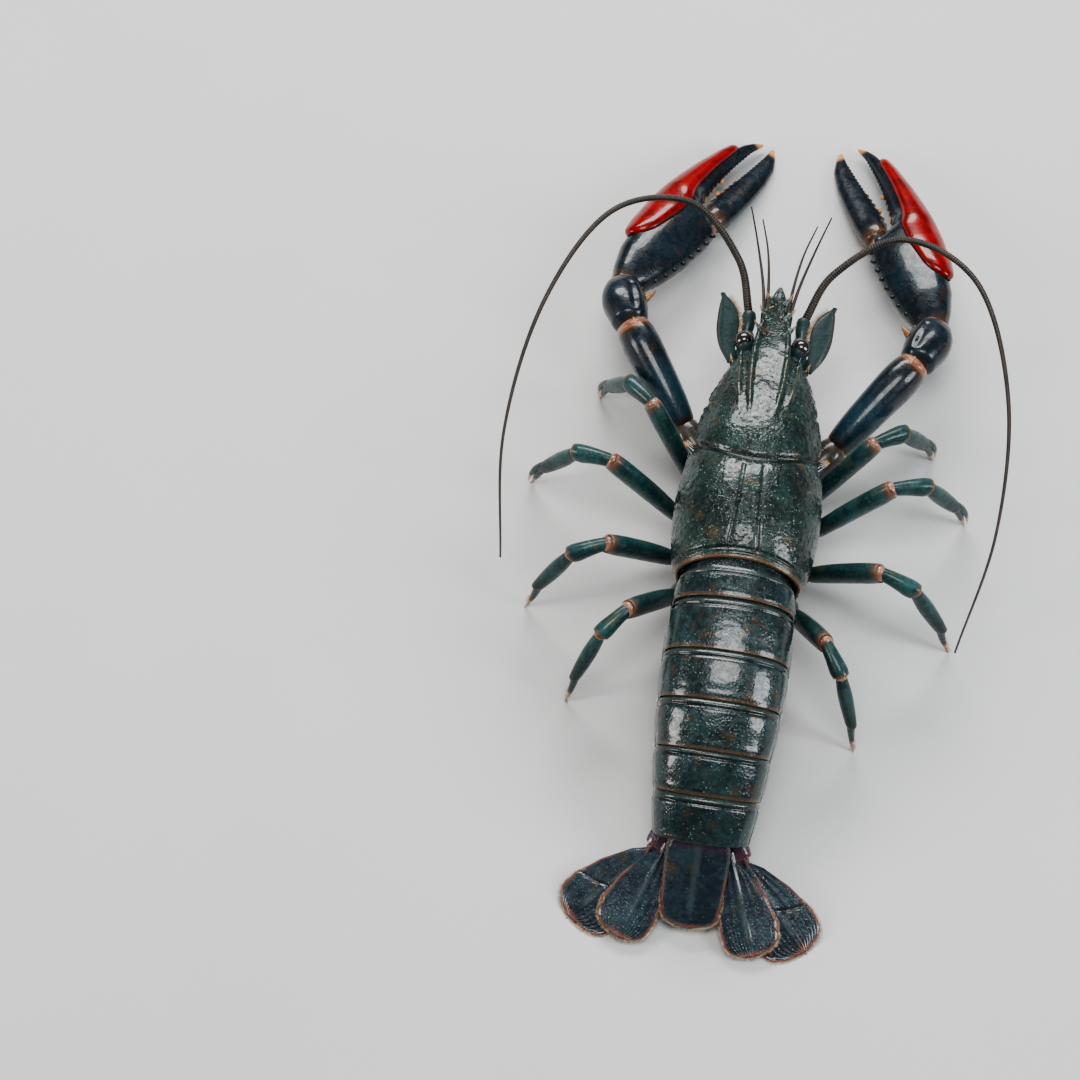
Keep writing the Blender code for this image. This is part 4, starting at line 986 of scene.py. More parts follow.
SMALL_STEM = ((2.4, 0.3, 28.3), (2.6, -5.0, 28.4), (2.7, -9.0, 28.7), (2.8, -13.0, 29.2))
SMALL_STEM_SIZES = (1.35, 1.15, 0.95)
SMALL_STEM_SHAPE = ((0, 0.8), (0.4, 0.95), (0.9, 1.0), (1, 1))
SMALL_LASHES = (
    ((2.9, -12.6, 29.3), (4.4, -20, 32.0), (7.0, -28, 36.6), (9.6, -34, 42.4)),
    ((2.6, -12.6, 28.9), (2.9, -20, 29.6), (4.2, -28, 32.0), (6.6, -35, 35.2)),
)
for label, side in SIDES.items():
    small = Form()
    for i, size in enumerate(SMALL_STEM_SIZES):
        a, b = mirrored(SMALL_STEM[i], side), mirrored(SMALL_STEM[i + 1], side)
        limb(small, a - unit(b - a) * 0.5, b, (size, size * 1.08), SMALL_STEM_SHAPE, band=0.4)
    for knots in SMALL_LASHES:
        lash(small, mirrored(knots, side), thick=0.52, thin=0.16, pitch=0.55, sides=10)
    small.piece(f"small_feeler_{label}", feeler_look, "feeler", f"antennule_{label}")


# Long feelers. A stout three-part stem, then a stiff whip of several hundred rings swept out and
# back along the body, and outside the stem a leaf-shaped scale with a spine and a hair fringe.
WHIP_ROOT = (6.4, -13.6, 25.9)
WHIPS = {
    "left": (
        WHIP_ROOT,
        (11, -26, 30.5),
        (24, -36, 36),
        (42, -29, 38.5),
        (54, -4, 36),
        (58, 28, 32),
        (54, 58, 27.5),
    ),
    "right": (
        WHIP_ROOT,
        (12, -25, 31),
        (27, -33, 37.5),
        (45, -22, 41),
        (55, 6, 40),
        (56, 38, 37),
        (50, 68, 34.5),
    ),
}
STEM = ((6.2, 0.2, 24.2), (6.45, -4.4, 24.5), (6.5, -9.0, 25.1), (6.4, -14.2, 25.8))
STEM_SIZES = ((2.35, 2.5), (2.0, 2.15), (1.65, 1.7))
STEM_SHAPE = ((0, 0.70), (0.2, 0.86), (0.5, 1.02), (0.82, 1.05), (1, 0.92))
# The scale's stations: y, middle, half width
SCALE = (
    (-0.4, 8.8, 1.2),
    (-4.0, 10.4, 1.9),
    (-8.0, 11.0, 2.5),
    (-12.0, 11.2, 2.5),
    (-15.0, 11.9, 1.7),
    (-17.8, 13.0, 0.2),
)
SCALE_HAIRS = 150
fringe_look = hair_finish("pale_fringe", (0.20, 0.13, 0.075), (0.42, 0.32, 0.22))
for label, side in SIDES.items():
    stem = Form()
    for i, size in enumerate(STEM_SIZES):
        a, b = mirrored(STEM[i], side), mirrored(STEM[i + 1], side)
        limb(stem, a - unit(b - a) * 0.6, b, size, STEM_SHAPE, dusk=0.6, power=2.1, slant=0.2)
    horn(stem, mirrored((7.6, -2.6, 24.0), side), mirrored((9.2, -6.2, 23.9), side), 0.7, dusk=0.4)
    ball(stem, mirrored(STEM[-1], side), (1.25, 1.25, 1.0), joint=0.8)
    stem.piece(f"feeler_stem_{label}", leg_look, "leg_shell", f"antenna_stem_{label}")
    whip = Form()
    lash(whip, mirrored(WHIPS[label], side), thick=1.05, thin=0.24, pitch=0.62, sides=14)
    whip_nodes = (f"antenna_near_{label}", f"antenna_far_{label}")
    whip.piece(f"feeler_whip_{label}", feeler_look, "feeler", *whip_nodes)
    leaf = Form()
    ys = np.linspace(SCALE[0][0], SCALE[-1][0], 50)
    middle, half = smooth(SCALE, ys).T
    u = np.linspace(-1, 1, 19)
    x = middle[:, None] + half[:, None] * u
    z = 26.6 - 0.05 * ys[:, None] + 0.35 * (1 - u * u) + 0.35 * hump(u, 0.8, 0.25)
    grid = np.stack([x, np.broadcast_to(ys[:, None], x.shape), z], -1)
    thick = (0.9 - 0.65 * np.abs(u) ** 3 + 0 * ys[:, None]) * side
    leaf.plate(mirrored(grid, side), thick, rim=hump(u, 0.85, 0.2), dusk=0.9)
    leaf.piece(f"feeler_scale_{label}", leg_look, "leg_shell", f"antennal_scale_{label}")
    hair = Form()
    where = np.linspace(-5.5, -16.8, SCALE_HAIRS)
    middle, half = smooth(SCALE, where).T
    roots = np.stack([middle - half + 0.15, where, 26.5 - 0.05 * where], 1)
    wander = np.array([dice.uniform(-0.12, 0.12) for _ in where])
    forward = -0.45 - 0.9 * ease(-where, 8, 17)
    ways = np.stack([wander - 1.0, forward + wander, np.full(len(where), 0.02)], 1)
    lengths = [dice.uniform(1.3, 1.9) for _ in where]
    bristles(hair, mirrored(roots, side), mirrored(ways, side), lengths, 0.12)
    hair.piece(f"feeler_scale_fringe_{label}", fringe_look, "feeler")


# Claw arms. Base, two short lengths, the stout upper arm with spines beneath, and the rounded
# wrist with one strong spur. Blue-black, with an orange-red and cream patch where they meet.

# The joint at the end of each length
ARM = {
    "shoulder": (11.2, 19.2, 10.9),
    "bend": (17.8, 11.0, 11.4),
    "elbow": (33.5, -10.6, 17.8),
    "wrist_end": (37.6, -22.6, 15.0),
}
ARM_SIZES = ((3.3, 2.8), (3.5, 3.4), (4.2, 5.2), (5.0, 4.9))
ARM_BASE_SHAPE = ((0, 0.84), (0.25, 1.02), (0.55, 1.12), (0.85, 1.04), (1.0, 0.90))
ARM_SECOND_SHAPE = ((0, 0.74), (0.2, 0.90), (0.5, 1.0), (0.8, 1.08), (1.0, 0.96))
UPPER_ARM_SHAPE = ((0, 0.66), (0.2, 0.86), (0.55, 1.0), (0.82, 1.07), (0.94, 1.0), (1.0, 0.90))
WRIST_SHAPE = ((0, 0.70), (0.2, 0.92), (0.5, 1.05), (0.78, 1.04), (0.92, 0.92), (1.0, 0.80))
# Two rows of spines beneath the upper arm: inward and down to the foot, inward to the point, size
ARM_SPINES = ((2.5, 3.0, 1.6, 0.9), (-0.875, 4.3, -0.16, 0.65))
ARM_SPINES_ALONG = (0.22, 0.36, 0.5, 0.63, 0.75, 0.86)
# Small spines behind the wrist's spur: height and size
WRIST_SPINES = ((3.4, 0.8), (-2.2, 0.8), (-3.6, 0.6))
claw_look = shell_finish(
    "claw_shell",
    (0.004, 0.007, 0.010),
    (0.009, 0.017, 0.025),
    (0.020, 0.013, 0.009),
    (0.09, 0.12, 0.13),
    (
        ("blue", (0.010, 0.034, 0.048), 0.75),
        ("joint", (0.050, 0.025, 0.014), 0.7),
        ("rim", (0.24, 0.085, 0.038), 0.7),
        ("flame", (0.60, 0.060, 0.016), 0.97),
        ("cream", (0.74, 0.52, 0.24), 0.97),
        ("tip", (0.46, 0.22, 0.085), 0.9),
        ("brown", (0.085, 0.038, 0.017), 0.8),
        ("root", (0.150, 0.105, 0.055), 0.8),
    ),
    grain=0.8,
    depth=0.022,
    rough=0.22,
    coat=0.42,
    specks=0.28,
    gloss=0.24,
)


def limb_base(y, side):
    """Where a limb meets the slope of the breast plate."""
    foot = breast_foot(y)
    x = foot + (BREAST_TOP - foot) * (LIMB_Z - BREAST_LOW) / (BREAST_HIGH - BREAST_LOW)
    return np.array(((x - 0.2) * side, y, LIMB_Z))


def spots(places, radius):
    """A mask that is 1 near any of some places."""

    def found(points):
        near = np.min([np.linalg.norm(points - p, axis=-1) for p in places], axis=0)
        return 1 - ease(near, radius * 0.7, radius * 1.15)

    return found


def furrowed(share, turn):
    """Low swellings round a limb's base, with a furrow between them."""
    furrow = hump(share, 0.30 + 0.06 * np.cos(turn), 0.05)
    return 0.22 * np.cos(3 * turn + 0.6) * hump(share, 0.5, 0.4) - 0.25 * furrow


def paint(form, **marks):
    """Sets named values on all points of a form from their places."""
    for points, values in zip(form.points, form.values):
        for name, rule in marks.items():
            values[name] = np.maximum(values.get(name, 0.0), rule(points))


for label, side in SIDES.items():
    arm = Form()
    skin = Form()
    base = limb_base(LIMB_Y[0], side)
    shoulder, bend, elbow, wrist_end = (mirrored(place, side) for place in ARM.values())
    bottom = Form()
    limb(
        bottom,
        base,
        shoulder,
        ARM_SIZES[0],
        ARM_BASE_SHAPE,
        bow=-0.35,
        count=40,
        steps=50,
        power=2.1,
        press=furrowed,
        rim=lambda t: 0.8 * ease(t, 0.88, 0.96),
    )
    bottom.piece(f"claw_base_{label}", under_look, "under_shell")
    limb(
        arm,
        shoulder - unit(bend - shoulder) * 0.9,
        bend,
        ARM_SIZES[1],
        ARM_SECOND_SHAPE,
        count=40,
        steps=50,
        power=2.1,
        slant=0.25,
        root=0.35,
    )
    line = unit(elbow - bend)
    limb(
        arm,
        bend - line * 0.9,
        elbow,
        ARM_SIZES[2],
        UPPER_ARM_SHAPE,
        bow=0.5,
        count=48,
        steps=80,
        power=2.3,
        blue=lambda t: 0.75 * hump(t, 0.35, 0.30),
    )
    inward = mirrored((-1, 0, 0), side)
    for share in ARM_SPINES_ALONG:
        for across, below, point_across, size in ARM_SPINES:
            root = bend + (elbow - bend) * share + inward * across - UP * below
            point = root + inward * point_across + line * 1.2 - UP * 2.0 * size
            horn(arm, root, point, size, tip=0.9, cream=0.2)
    top_spine = elbow - line * 2.6 + UP * 4.2
    horn(arm, top_spine, top_spine + line * 2.6 + UP * 1.1, 0.9, tip=0.6)
    # The bright patch at the elbow, and cream spots before and below it
    flames = elbow + mirrored([(2.4, -1.2, 2.6), (1.6, 0.8, 3.6)], side)
    creams = elbow + mirrored([(4.0, 1.6, 0.4), (1.0, 3.0, -4.2)], side)
    paint(arm, flame=spots(flames, 3.1), cream=spots(creams, 1.3))
    arm.piece(f"claw_upper_arm_{label}", claw_look, "claw_shell", f"claw_arm_{label}")

    wrist = Form()
    along = unit(wrist_end - elbow)

    def wrist_form(share, turn, side=side):
        """A groove along its top, a swollen inner face and a flatter outer one."""
        inward = np.cos(turn) * -side
        groove = hump(turn, math.radians(90 - 14 * side), 0.20)
        groove = groove * ease(share, 0.10, 0.35) * (1 - ease(share, 0.72, 0.9))
        swollen = 0.55 * ease(inward, 0.1, 0.9) * hump(share, 0.62, 0.25)
        return swollen - 0.45 * ease(-inward, 0.2, 1.0) - 0.6 * groove

    limb(
        wrist,
        elbow - along * 0.9,
        wrist_end + along * 0.2,
        ARM_SIZES[3],
        WRIST_SHAPE,
        bow=0.5,
        count=64,
        steps=80,
        power=2.3,
        dome=0.2,
        press=wrist_form,
        blue=0.25,
    )
    root = elbow + (wrist_end - elbow) * 0.62 + mirrored((-3.4, 0, 1.4), side)
    point = root + mirrored((-3.4, -3.0, 0.7), side)
    horn(wrist, root, point, 1.5, mirrored((0, 0.4, 0.2), side), 16, tip=0.5)
    for step, (rise, size) in enumerate(WRIST_SPINES):
        root = elbow + (wrist_end - elbow) * (0.70 + 0.06 * step) + mirrored((-2.6, 0, rise), side)
        point = root + mirrored((-1.3, -1.5, 0.4 * np.sign(rise)), side)
        horn(wrist, root, point, size, tip=0.5)
    flames = [elbow + mirrored((3.2, -2.0, 2.6), side)]
    creams = [elbow + mirrored((4.6, -2.6, 1.0), side), wrist_end + mirrored((2.4, 1.5, 3.2), side)]
    paint(wrist, flame=spots(flames, 2.2), cream=spots(creams, 0.9))
    wrist.piece(f"claw_wrist_joint_{label}", claw_look, "claw_shell", f"claw_wrist_{label}")

    ball(skin, shoulder, (2.8, 2.7, 1.5), shoulder - base)
    ball(skin, bend, (3.0, 3.2, 1.8), bend - shoulder)
    ball(skin, elbow, (3.9, 4.2, 2.0), elbow - bend)
    ball(skin, wrist_end, (3.5, 3.3, 2.0), wrist_end - elbow)
    skin.piece(f"claw_arm_skin_{label}", joint_look, "under_shell")


# Claws. Long smooth pincers, blue-black and glossy: a flattened palm drawn out into the fixed
# finger, and a finger hinged on its inner side, with blunt teeth along both cutting edges.
TIP = {"left": (10.0, -75.0, 1.6), "right": (14.0, -77.5, 2.0)}
OPEN = {"left": 5.0, "right": 8.5}
# The outer margin, with its red swelling, is turned up by this angle
ROLL = 22.0
PALM_LENGTH, CLAW_LENGTH = 31.0, 60.0
# Distance from the wrist, outer margin, inner margin, half thickness
CLAW = (
    (0.0, -3.2, 3.2, 3.0),
    (3.0, -4.9, 4.8, 3.9),
    (8.5, -7.0, 6.6, 4.8),
    (16.0, -8.2, 7.8, 5.3),
    (23.5, -8.5, 8.2, 5.3),
    (28.5, -8.4, 8.0, 4.9),
    (PALM_LENGTH, -8.2, 1.2, 4.3),
    (35.0, -7.7, -0.4, 3.7),
    (41.5, -6.6, -0.8, 3.1),
    (49.0, -4.9, -0.7, 2.4),
    (55.5, -2.9, -0.2, 1.6),
    (58.6, -1.2, 0.6, 0.9),
    (CLAW_LENGTH, 0.4, 1.0, 0.35),
)
# The corners of the claw's table are rounded over this length
CLAW_SOFT = 1.3
# The finger's hinge: distance from the wrist, and towards the inner margin
HINGE = (31.4, 4.7)
# The finger, from its hinge: distance, cutting edge, inner margin, half thickness
FINGER = (
    (-1.6, -1.2, 1.4, 1.6),
    (0.0, -2.9, 2.9, 3.2),
    (2.5, -3.7, 3.5, 3.5),
    (6.5, -4.0, 3.4, 3.3),
    (13.0, -3.9, 2.7, 2.8),
    (19.5, -3.8, 1.7, 2.2),
    (25.0, -3.9, 0.1, 1.5),
    (28.2, -4.2, -2.1, 0.8),
    (29.3, -4.4, -3.6, 0.35),
)
# Teeth on the cutting edges: place along the claw, height and half length
PALM_TEETH = (
    (33.2, 0.35, 0.6),
    (35.2, 0.75, 0.8),
    (37.4, 0.5, 0.6),
    (39.2, 0.55, 0.6),
    (41.0, 0.4, 0.5),
    (43.2, 1.05, 0.9),
)
FINGER_TEETH = (
    (3.2, 0.4, 0.6),
    (5.2, 0.6, 0.7),
    (7.8, 1.1, 0.9),
    (10.2, 0.5, 0.6),
    (12.0, 0.45, 0.5),
    (13.8, 0.4, 0.5),
)
HINGE_HAIRS = 170
# Hard parts stop this far above the floor
FLOOR_GAP = 0.02


def claw_frame(label, side):
    """Wrist, then the directions along the claw, to its inner edge and up through its thickness."""
    wrist = mirrored(ARM["wrist_end"], side)
    along = unit(mirrored(TIP[label], side) - wrist)
    flat = mirrored((-1, 0, 0), side)
    flat = unit(flat - along * flat.dot(along))
    thick = np.cross(along, flat)
    thick = thick if thick[2] > 0 else -thick
    roll = math.radians(ROLL)
    lean = flat * math.cos(roll) - thick * math.sin(roll)
    return wrist, along, lean, thick * math.cos(roll) + flat * math.sin(roll)


def straight(table, reach):
    """Columns of a table, read along straight runs between its rows."""
    rows = np.array(table, float)
    return np.stack([np.interp(reach, rows[:, 0], rows[:, k]) for k in range(1, rows.shape[1])], -1)


def softened(table, reach, width):
    """The table's straight runs with their corners rounded over a width."""
    offsets = np.linspace(-1, 1, 9) * width
    weights = np.cos(offsets / width * math.pi / 2) + 0.02
    found = sum(straight(table, reach + o) * w for o, w in zip(offsets, weights))
    return found / weights.sum()


def pincer_rings(place, table, reach, teeth, cutting, fine_from, count, width):
    """Rings of a palm or finger; cutting says which margin bears the teeth."""
    start, along, inner, thick = place
    low, high, half = softened(table, reach, width).T
    turn = np.linspace(0, math.tau, count, endpoint=False)
    x = squared(np.cos(turn), 2 / 2.25)
    z = squared(np.sin(turn), 2 / 2.25)
    toward = (x * cutting + 1) / 2
    slim = ease(reach, fine_from, fine_from + 5)[:, None]
    z = z * (1 - 0.42 * slim * toward**1.6)
    middle, wide = (low + high) / 2, (high - low) / 2
    across = middle[:, None] + wide[:, None] * x
    up = half[:, None] * z
    blade = hump(up, 0.0, 0.55) * ease(toward, 0.72, 0.98)
    bite = np.zeros(len(reach))
    for at, tall, long in teeth:
        bite = bite + tall * np.clip(1 - ((reach - at) / long) ** 2, 0, 1) ** 0.7
    # A row of small teeth runs on from the last large one towards the tip.
    small = np.clip(np.cos((reach - fine_from) * math.tau / 1.15), 0, 1) * 0.20
    last, end = teeth[-1][0], table[-1][0]
    bite = bite + small * ease(reach, last + 0.8, last + 2) * (1 - ease(reach, end - 5, end - 3))
    across = across + cutting * bite[:, None] * blade
    rings = start + along * reach[:, None, None] + inner * across[..., None] + thick * up[..., None]
    return rings, bite[:, None] * blade


def on_floor(points):
    """Lifts what would go into the floor."""
    points[..., 2] = np.maximum(points[..., 2], FLOOR_GAP)
    return points


for label, side in SIDES.items():
    place = claw_frame(label, side)
    start, along, inner, thick = place
    palm = Form()
    finer = np.linspace(27.3, 33, 34)
    toothed = np.linspace(33.2, CLAW_LENGTH, 130)
    reach = np.concatenate([np.linspace(0, 27, 70), finer, toothed])
    palm_form = {"cutting": 1, "fine_from": PALM_LENGTH + 1, "count": 72, "width": CLAW_SOFT}
    rings, bitten = pincer_rings(place, CLAW, reach, PALM_TEETH, **palm_form)
    # Three smaller rings close its root as a dome.
    dome = ((0.55, 1.3), (0.8, 0.95), (0.94, 0.45))
    heart = rings[0].mean(0)
    domed = [heart + (rings[0] - heart) * size - along * before for size, before in dome]
    rings = np.concatenate([domed, rings])
    reach = np.concatenate([[-before for _, before in dome], reach])
    bitten = np.concatenate([np.zeros((len(dome), rings.shape[1])), bitten])
    palm.skin(
        on_floor(rings),
        tip=ease(reach, 56.5, 60)[:, None] + 1.3 * np.clip(bitten * 1.4, 0, 0.5),
        joint=(hump(reach, 0, 2.2) * 0.8)[:, None] + 0 * bitten,
        blue=(0.30 * hump(reach, 14, 9))[:, None] + 0 * bitten,
        brown=hump(reach, HINGE[0] - 1.0, 2.2)[:, None] * 0.8 * ease((rings - start) @ inner, 0.5, 5.0),
    )
    for k in range(8):
        # Low knobs along the palm's inner upper margin
        at = 6.0 + 3.0 * k
        low, high, half = softened(CLAW, np.array([at]), CLAW_SOFT)[0]
        root = start + along * at + inner * (high - 0.75) + thick * half * 0.5
        out = unit(inner * 0.75 + thick * 0.5 + along * 0.4)
        ball(palm, root, (0.55, 0.70, 0.62 + 0.05 * k), out, brown=0.25)
    for rise in (1, -1):
        # Hinge knuckles above and below the finger's root
        knuckle = start + along * (HINGE[0] - 2.5) + inner * (HINGE[1] - 0.6) + thick * rise * 2.9
        ball(palm, knuckle, (1.5, 1.25, 1.9), along, brown=0.3)
    palm.piece(f"claw_palm_{label}", claw_look, "claw_shell", f"claw_{label}")

    turn = math.radians(OPEN[label])
    opened = along * math.cos(turn) + inner * math.sin(turn)
    across = inner * math.cos(turn) - along * math.sin(turn)
    hinge = start + along * HINGE[0] + inner * HINGE[1]
    finger = Form()
    reach = np.linspace(FINGER[0][0], FINGER[-1][0], 130)
    place = (hinge, opened, across, thick)
    finger_form = {"cutting": -1, "fine_from": 1.5, "count": 60, "width": 0.9}
    rings, bitten = pincer_rings(place, FINGER, reach, FINGER_TEETH, **finger_form)
    finger.skin(
        on_floor(rings),
        tip=ease(reach, 26, 29)[:, None] + 1.3 * np.clip(bitten * 1.4, 0, 0.5),
        brown=0.65 * (1 - ease(reach, -1, 5))[:, None] + 0.10 + 0 * bitten,
    )
    finger.piece(f"claw_thumb_{label}", claw_look, "claw_shell", f"claw_finger_{label}")
    soft = Form()
    ball(soft, hinge - opened * 0.9, (2.5, 2.7, 1.9), opened)
    soft.piece(f"claw_hinge_skin_{label}", joint_look, "under_shell")
    hair = Form()
    roots, ways, lengths = [], [], []
    for _ in range(HINGE_HAIRS):
        way = dice.uniform(0, math.tau)
        out = across * math.cos(way) + thick * math.sin(way)
        rim = across * math.cos(way) * 2.5 + thick * math.sin(way) * 2.8
        roots.append(hinge - opened * 0.2 + rim)
        ways.append(out * 0.7 + opened * dice.uniform(0.2, 1.1) - across * 0.3)
        lengths.append(dice.uniform(0.7, 1.7))
    bristles(hair, roots, ways, lengths, 0.11)
    hair.piece(f"claw_hinge_bristles_{label}", hair_look, "feeler")


# Red swelling. The soft, uncalcified blister on the outer edge of a grown male's claw. It lies in
# the shell like a pad: bright red, smooth and wet, with fine dark flecks, and a painted shade darkens
# it towards its sunk margins.

# Distance from the wrist, then its upper and lower margin in degrees round the claw
RED_PATCH = (
    (12.0, 152, 174),
    (13.2, 136, 188),
    (16.0, 121, 200),
    (23.5, 109, 209),
    (28.5, 108, 211),
    (PALM_LENGTH, 91, 221),
    (35.0, 94, 222),
    (41.5, 105, 218),
    (49.0, 124, 207),
    (53.0, 146, 196),
)
RED_RAISED, RED_SUNK = 0.5, 0.35
wet = {"Coat Weight": 0.5, "Coat Roughness": 0.07, "Coat IOR": 1.33, "Specular IOR Level": 0.22}
red = Finish("red_blister", wet)
streaks = red.clouds(2.6, 5, 3.0)
ground = red.mix((0.085, 0.002, 0.002), (0.19, 0.004, 0.003), streaks.between(0.32, 0.62))
ground = red.mix(ground, (0.27, 0.012, 0.006), 0.35 * red.clouds(1.6, 5, 29.0).between(0.55, 0.75))
ground = red.mix(ground, (0.06, 0.003, 0.003), 0.25 * red.cells(0.9, 14.0).between(0.14, 0.05))
# A painted shade darkens the pad where it curves down to its sunk margins.
margin = red.mask("edge").between(0.35, 1.0)
red.wear("Base Color", red.mix(ground, (0.10, 0.008, 0.007), 0.85 * margin))
red.wear("Roughness", 0.20 + 0.10 * red.clouds(1.6, 3, 8.0))
red.relief(0.7 * red.clouds(1.4, 3, 6.0) + 0.3 * red.cells(0.4, 2.0), 0.05)


def rounded(x, width):
    """From 0 at 0 to 1 at a width, like a quarter of a circle."""
    return np.sqrt(np.clip(1 - np.clip(1 - x / width, 0, 1) ** 2, 0, 1))


for label, side in SIDES.items():
    start, along, inner, thick = claw_frame(label, side)
    reach = np.linspace(RED_PATCH[0][0], RED_PATCH[-1][0], 110)
    upper, lower = softened(RED_PATCH, reach, 1.2).T
    low, high, half = softened(CLAW, reach, CLAW_SOFT).T
    v = np.linspace(0, 1, 40)
    u = (reach - reach[0]) / (reach[-1] - reach[0])
    closing = rounded(u, 0.06) * rounded(1 - u, 0.05)
    centre_turn, spread = (upper + lower) / 2, (lower - upper) / 2 * (0.25 + 0.75 * closing)
    turn = np.radians(centre_turn[:, None] + spread[:, None] * (2 * v - 1))
    side_edge = np.abs(2 * v - 1)[None, :] + 0 * u[:, None]
    end_edge = 1 - np.minimum(u / 0.05, (1 - u) / 0.07).clip(0, 1)[:, None]
    edge = np.maximum(side_edge, end_edge)
    rise = (RED_RAISED + RED_SUNK) * (1 - edge**5) ** 0.6 - RED_SUNK
    x = (low + high)[:, None] / 2 + ((high - low)[:, None] / 2 + rise) * np.cos(turn)
    z = (half[:, None] + rise) * np.sin(turn)
    grid = start + along * reach[:, None, None] + inner * x[..., None] + thick * z[..., None]
    pad = Form()
    # The edge value carries the painted shade round the pad's sunk margin.
    pad.plate(grid, -side, edge=ease(edge, 0.82, 1.0))
    pad.piece(f"claw_red_pad_{label}", red.material, "claw_red", f"claw_red_{label}")


# Walking legs. Four pairs, each of six hard lengths; the first two pairs end in small pincers and
# the others in one claw. Blue-green, with rusty joints, pale tips and olive-tan bases.

# Heading outward in degrees, size, and whether it ends in a pincer
LEGS = {
    2: {"y": LIMB_Y[1], "left": (-42, 1.00), "right": (-36, 0.98), "pincer": True},
    3: {"y": LIMB_Y[2], "left": (-12, 1.08), "right": (-19, 1.08), "pincer": True},
    4: {"y": LIMB_Y[3], "left": (22, 1.04), "right": (16, 1.06), "pincer": False},
    5: {"y": LIMB_Y[4], "left": (50, 1.00), "right": (56, 0.98), "pincer": False},
}
# Reach and height at the end of each length, in the leg's own upright plane
LEG_JOINTS = ((10.0, 9.2), (26.0, 26.0), (34.0, 24.2), (41.5, 10.6), (44.5, 0.0))
LEG_SIZES = ((2.4, 2.55), (2.05, 2.7), (1.9, 2.25), (1.5, 1.9), (1.0, 1.1))
LEG_BASE_SIZE, PINCER_SIZE = (2.85, 2.6), (0.85, 0.75)
LEG_ROOT_REACH = 4.0
LEG_HAIRS = 110
# How each length swells along its way
LEG_BASE_SHAPE = ((0, 0.90), (0.25, 1.04), (0.55, 1.14), (0.85, 1.04), (1, 0.88))
LEG_SECOND_SHAPE = ((0, 0.76), (0.2, 0.90), (0.5, 1.02), (0.82, 1.08), (1, 0.92))
THIGH_SHAPE = ((0, 0.62), (0.12, 0.80), (0.4, 0.97), (0.8, 1.04), (0.94, 1.0), (1, 0.94))
KNEE_SHAPE = ((0, 0.66), (0.15, 0.78), (0.5, 0.93), (0.85, 1.08), (1, 1.02))
SHIN_SHAPE = ((0, 0.70), (0.12, 0.86), (0.4, 1.08), (0.7, 1.02), (0.94, 0.86), (1, 0.80))
NAIL_SHAPE = ((0, 0.95), (0.3, 0.85), (0.7, 0.55), (1, 0.16))
PINCER_SHAPE = ((0, 0.9), (0.4, 0.95), (0.75, 0.6), (1, 0.15))


def leg_places(number, label, side):
    """The joints of one walking leg, from its base to the foot."""
    turn, size = LEGS[number][label]
    base = limb_base(LEGS[number]["y"], side)
    hip = base + mirrored((3.9, 0.012 * turn, -3.1), side)
    heading = np.array((side * math.cos(math.radians(turn)), math.sin(math.radians(turn)), 0))
    places = [base, hip]
    low = LEG_JOINTS[0][1]
    for reach, height in LEG_JOINTS:
        # The first joint and the foot stay at their heights, whatever the leg's size.
        rise = height if height <= low else low + (height - low) * size
        places.append(np.array((hip[0], hip[1], rise)) + heading * (reach - LEG_ROOT_REACH) * size)
    return places, heading


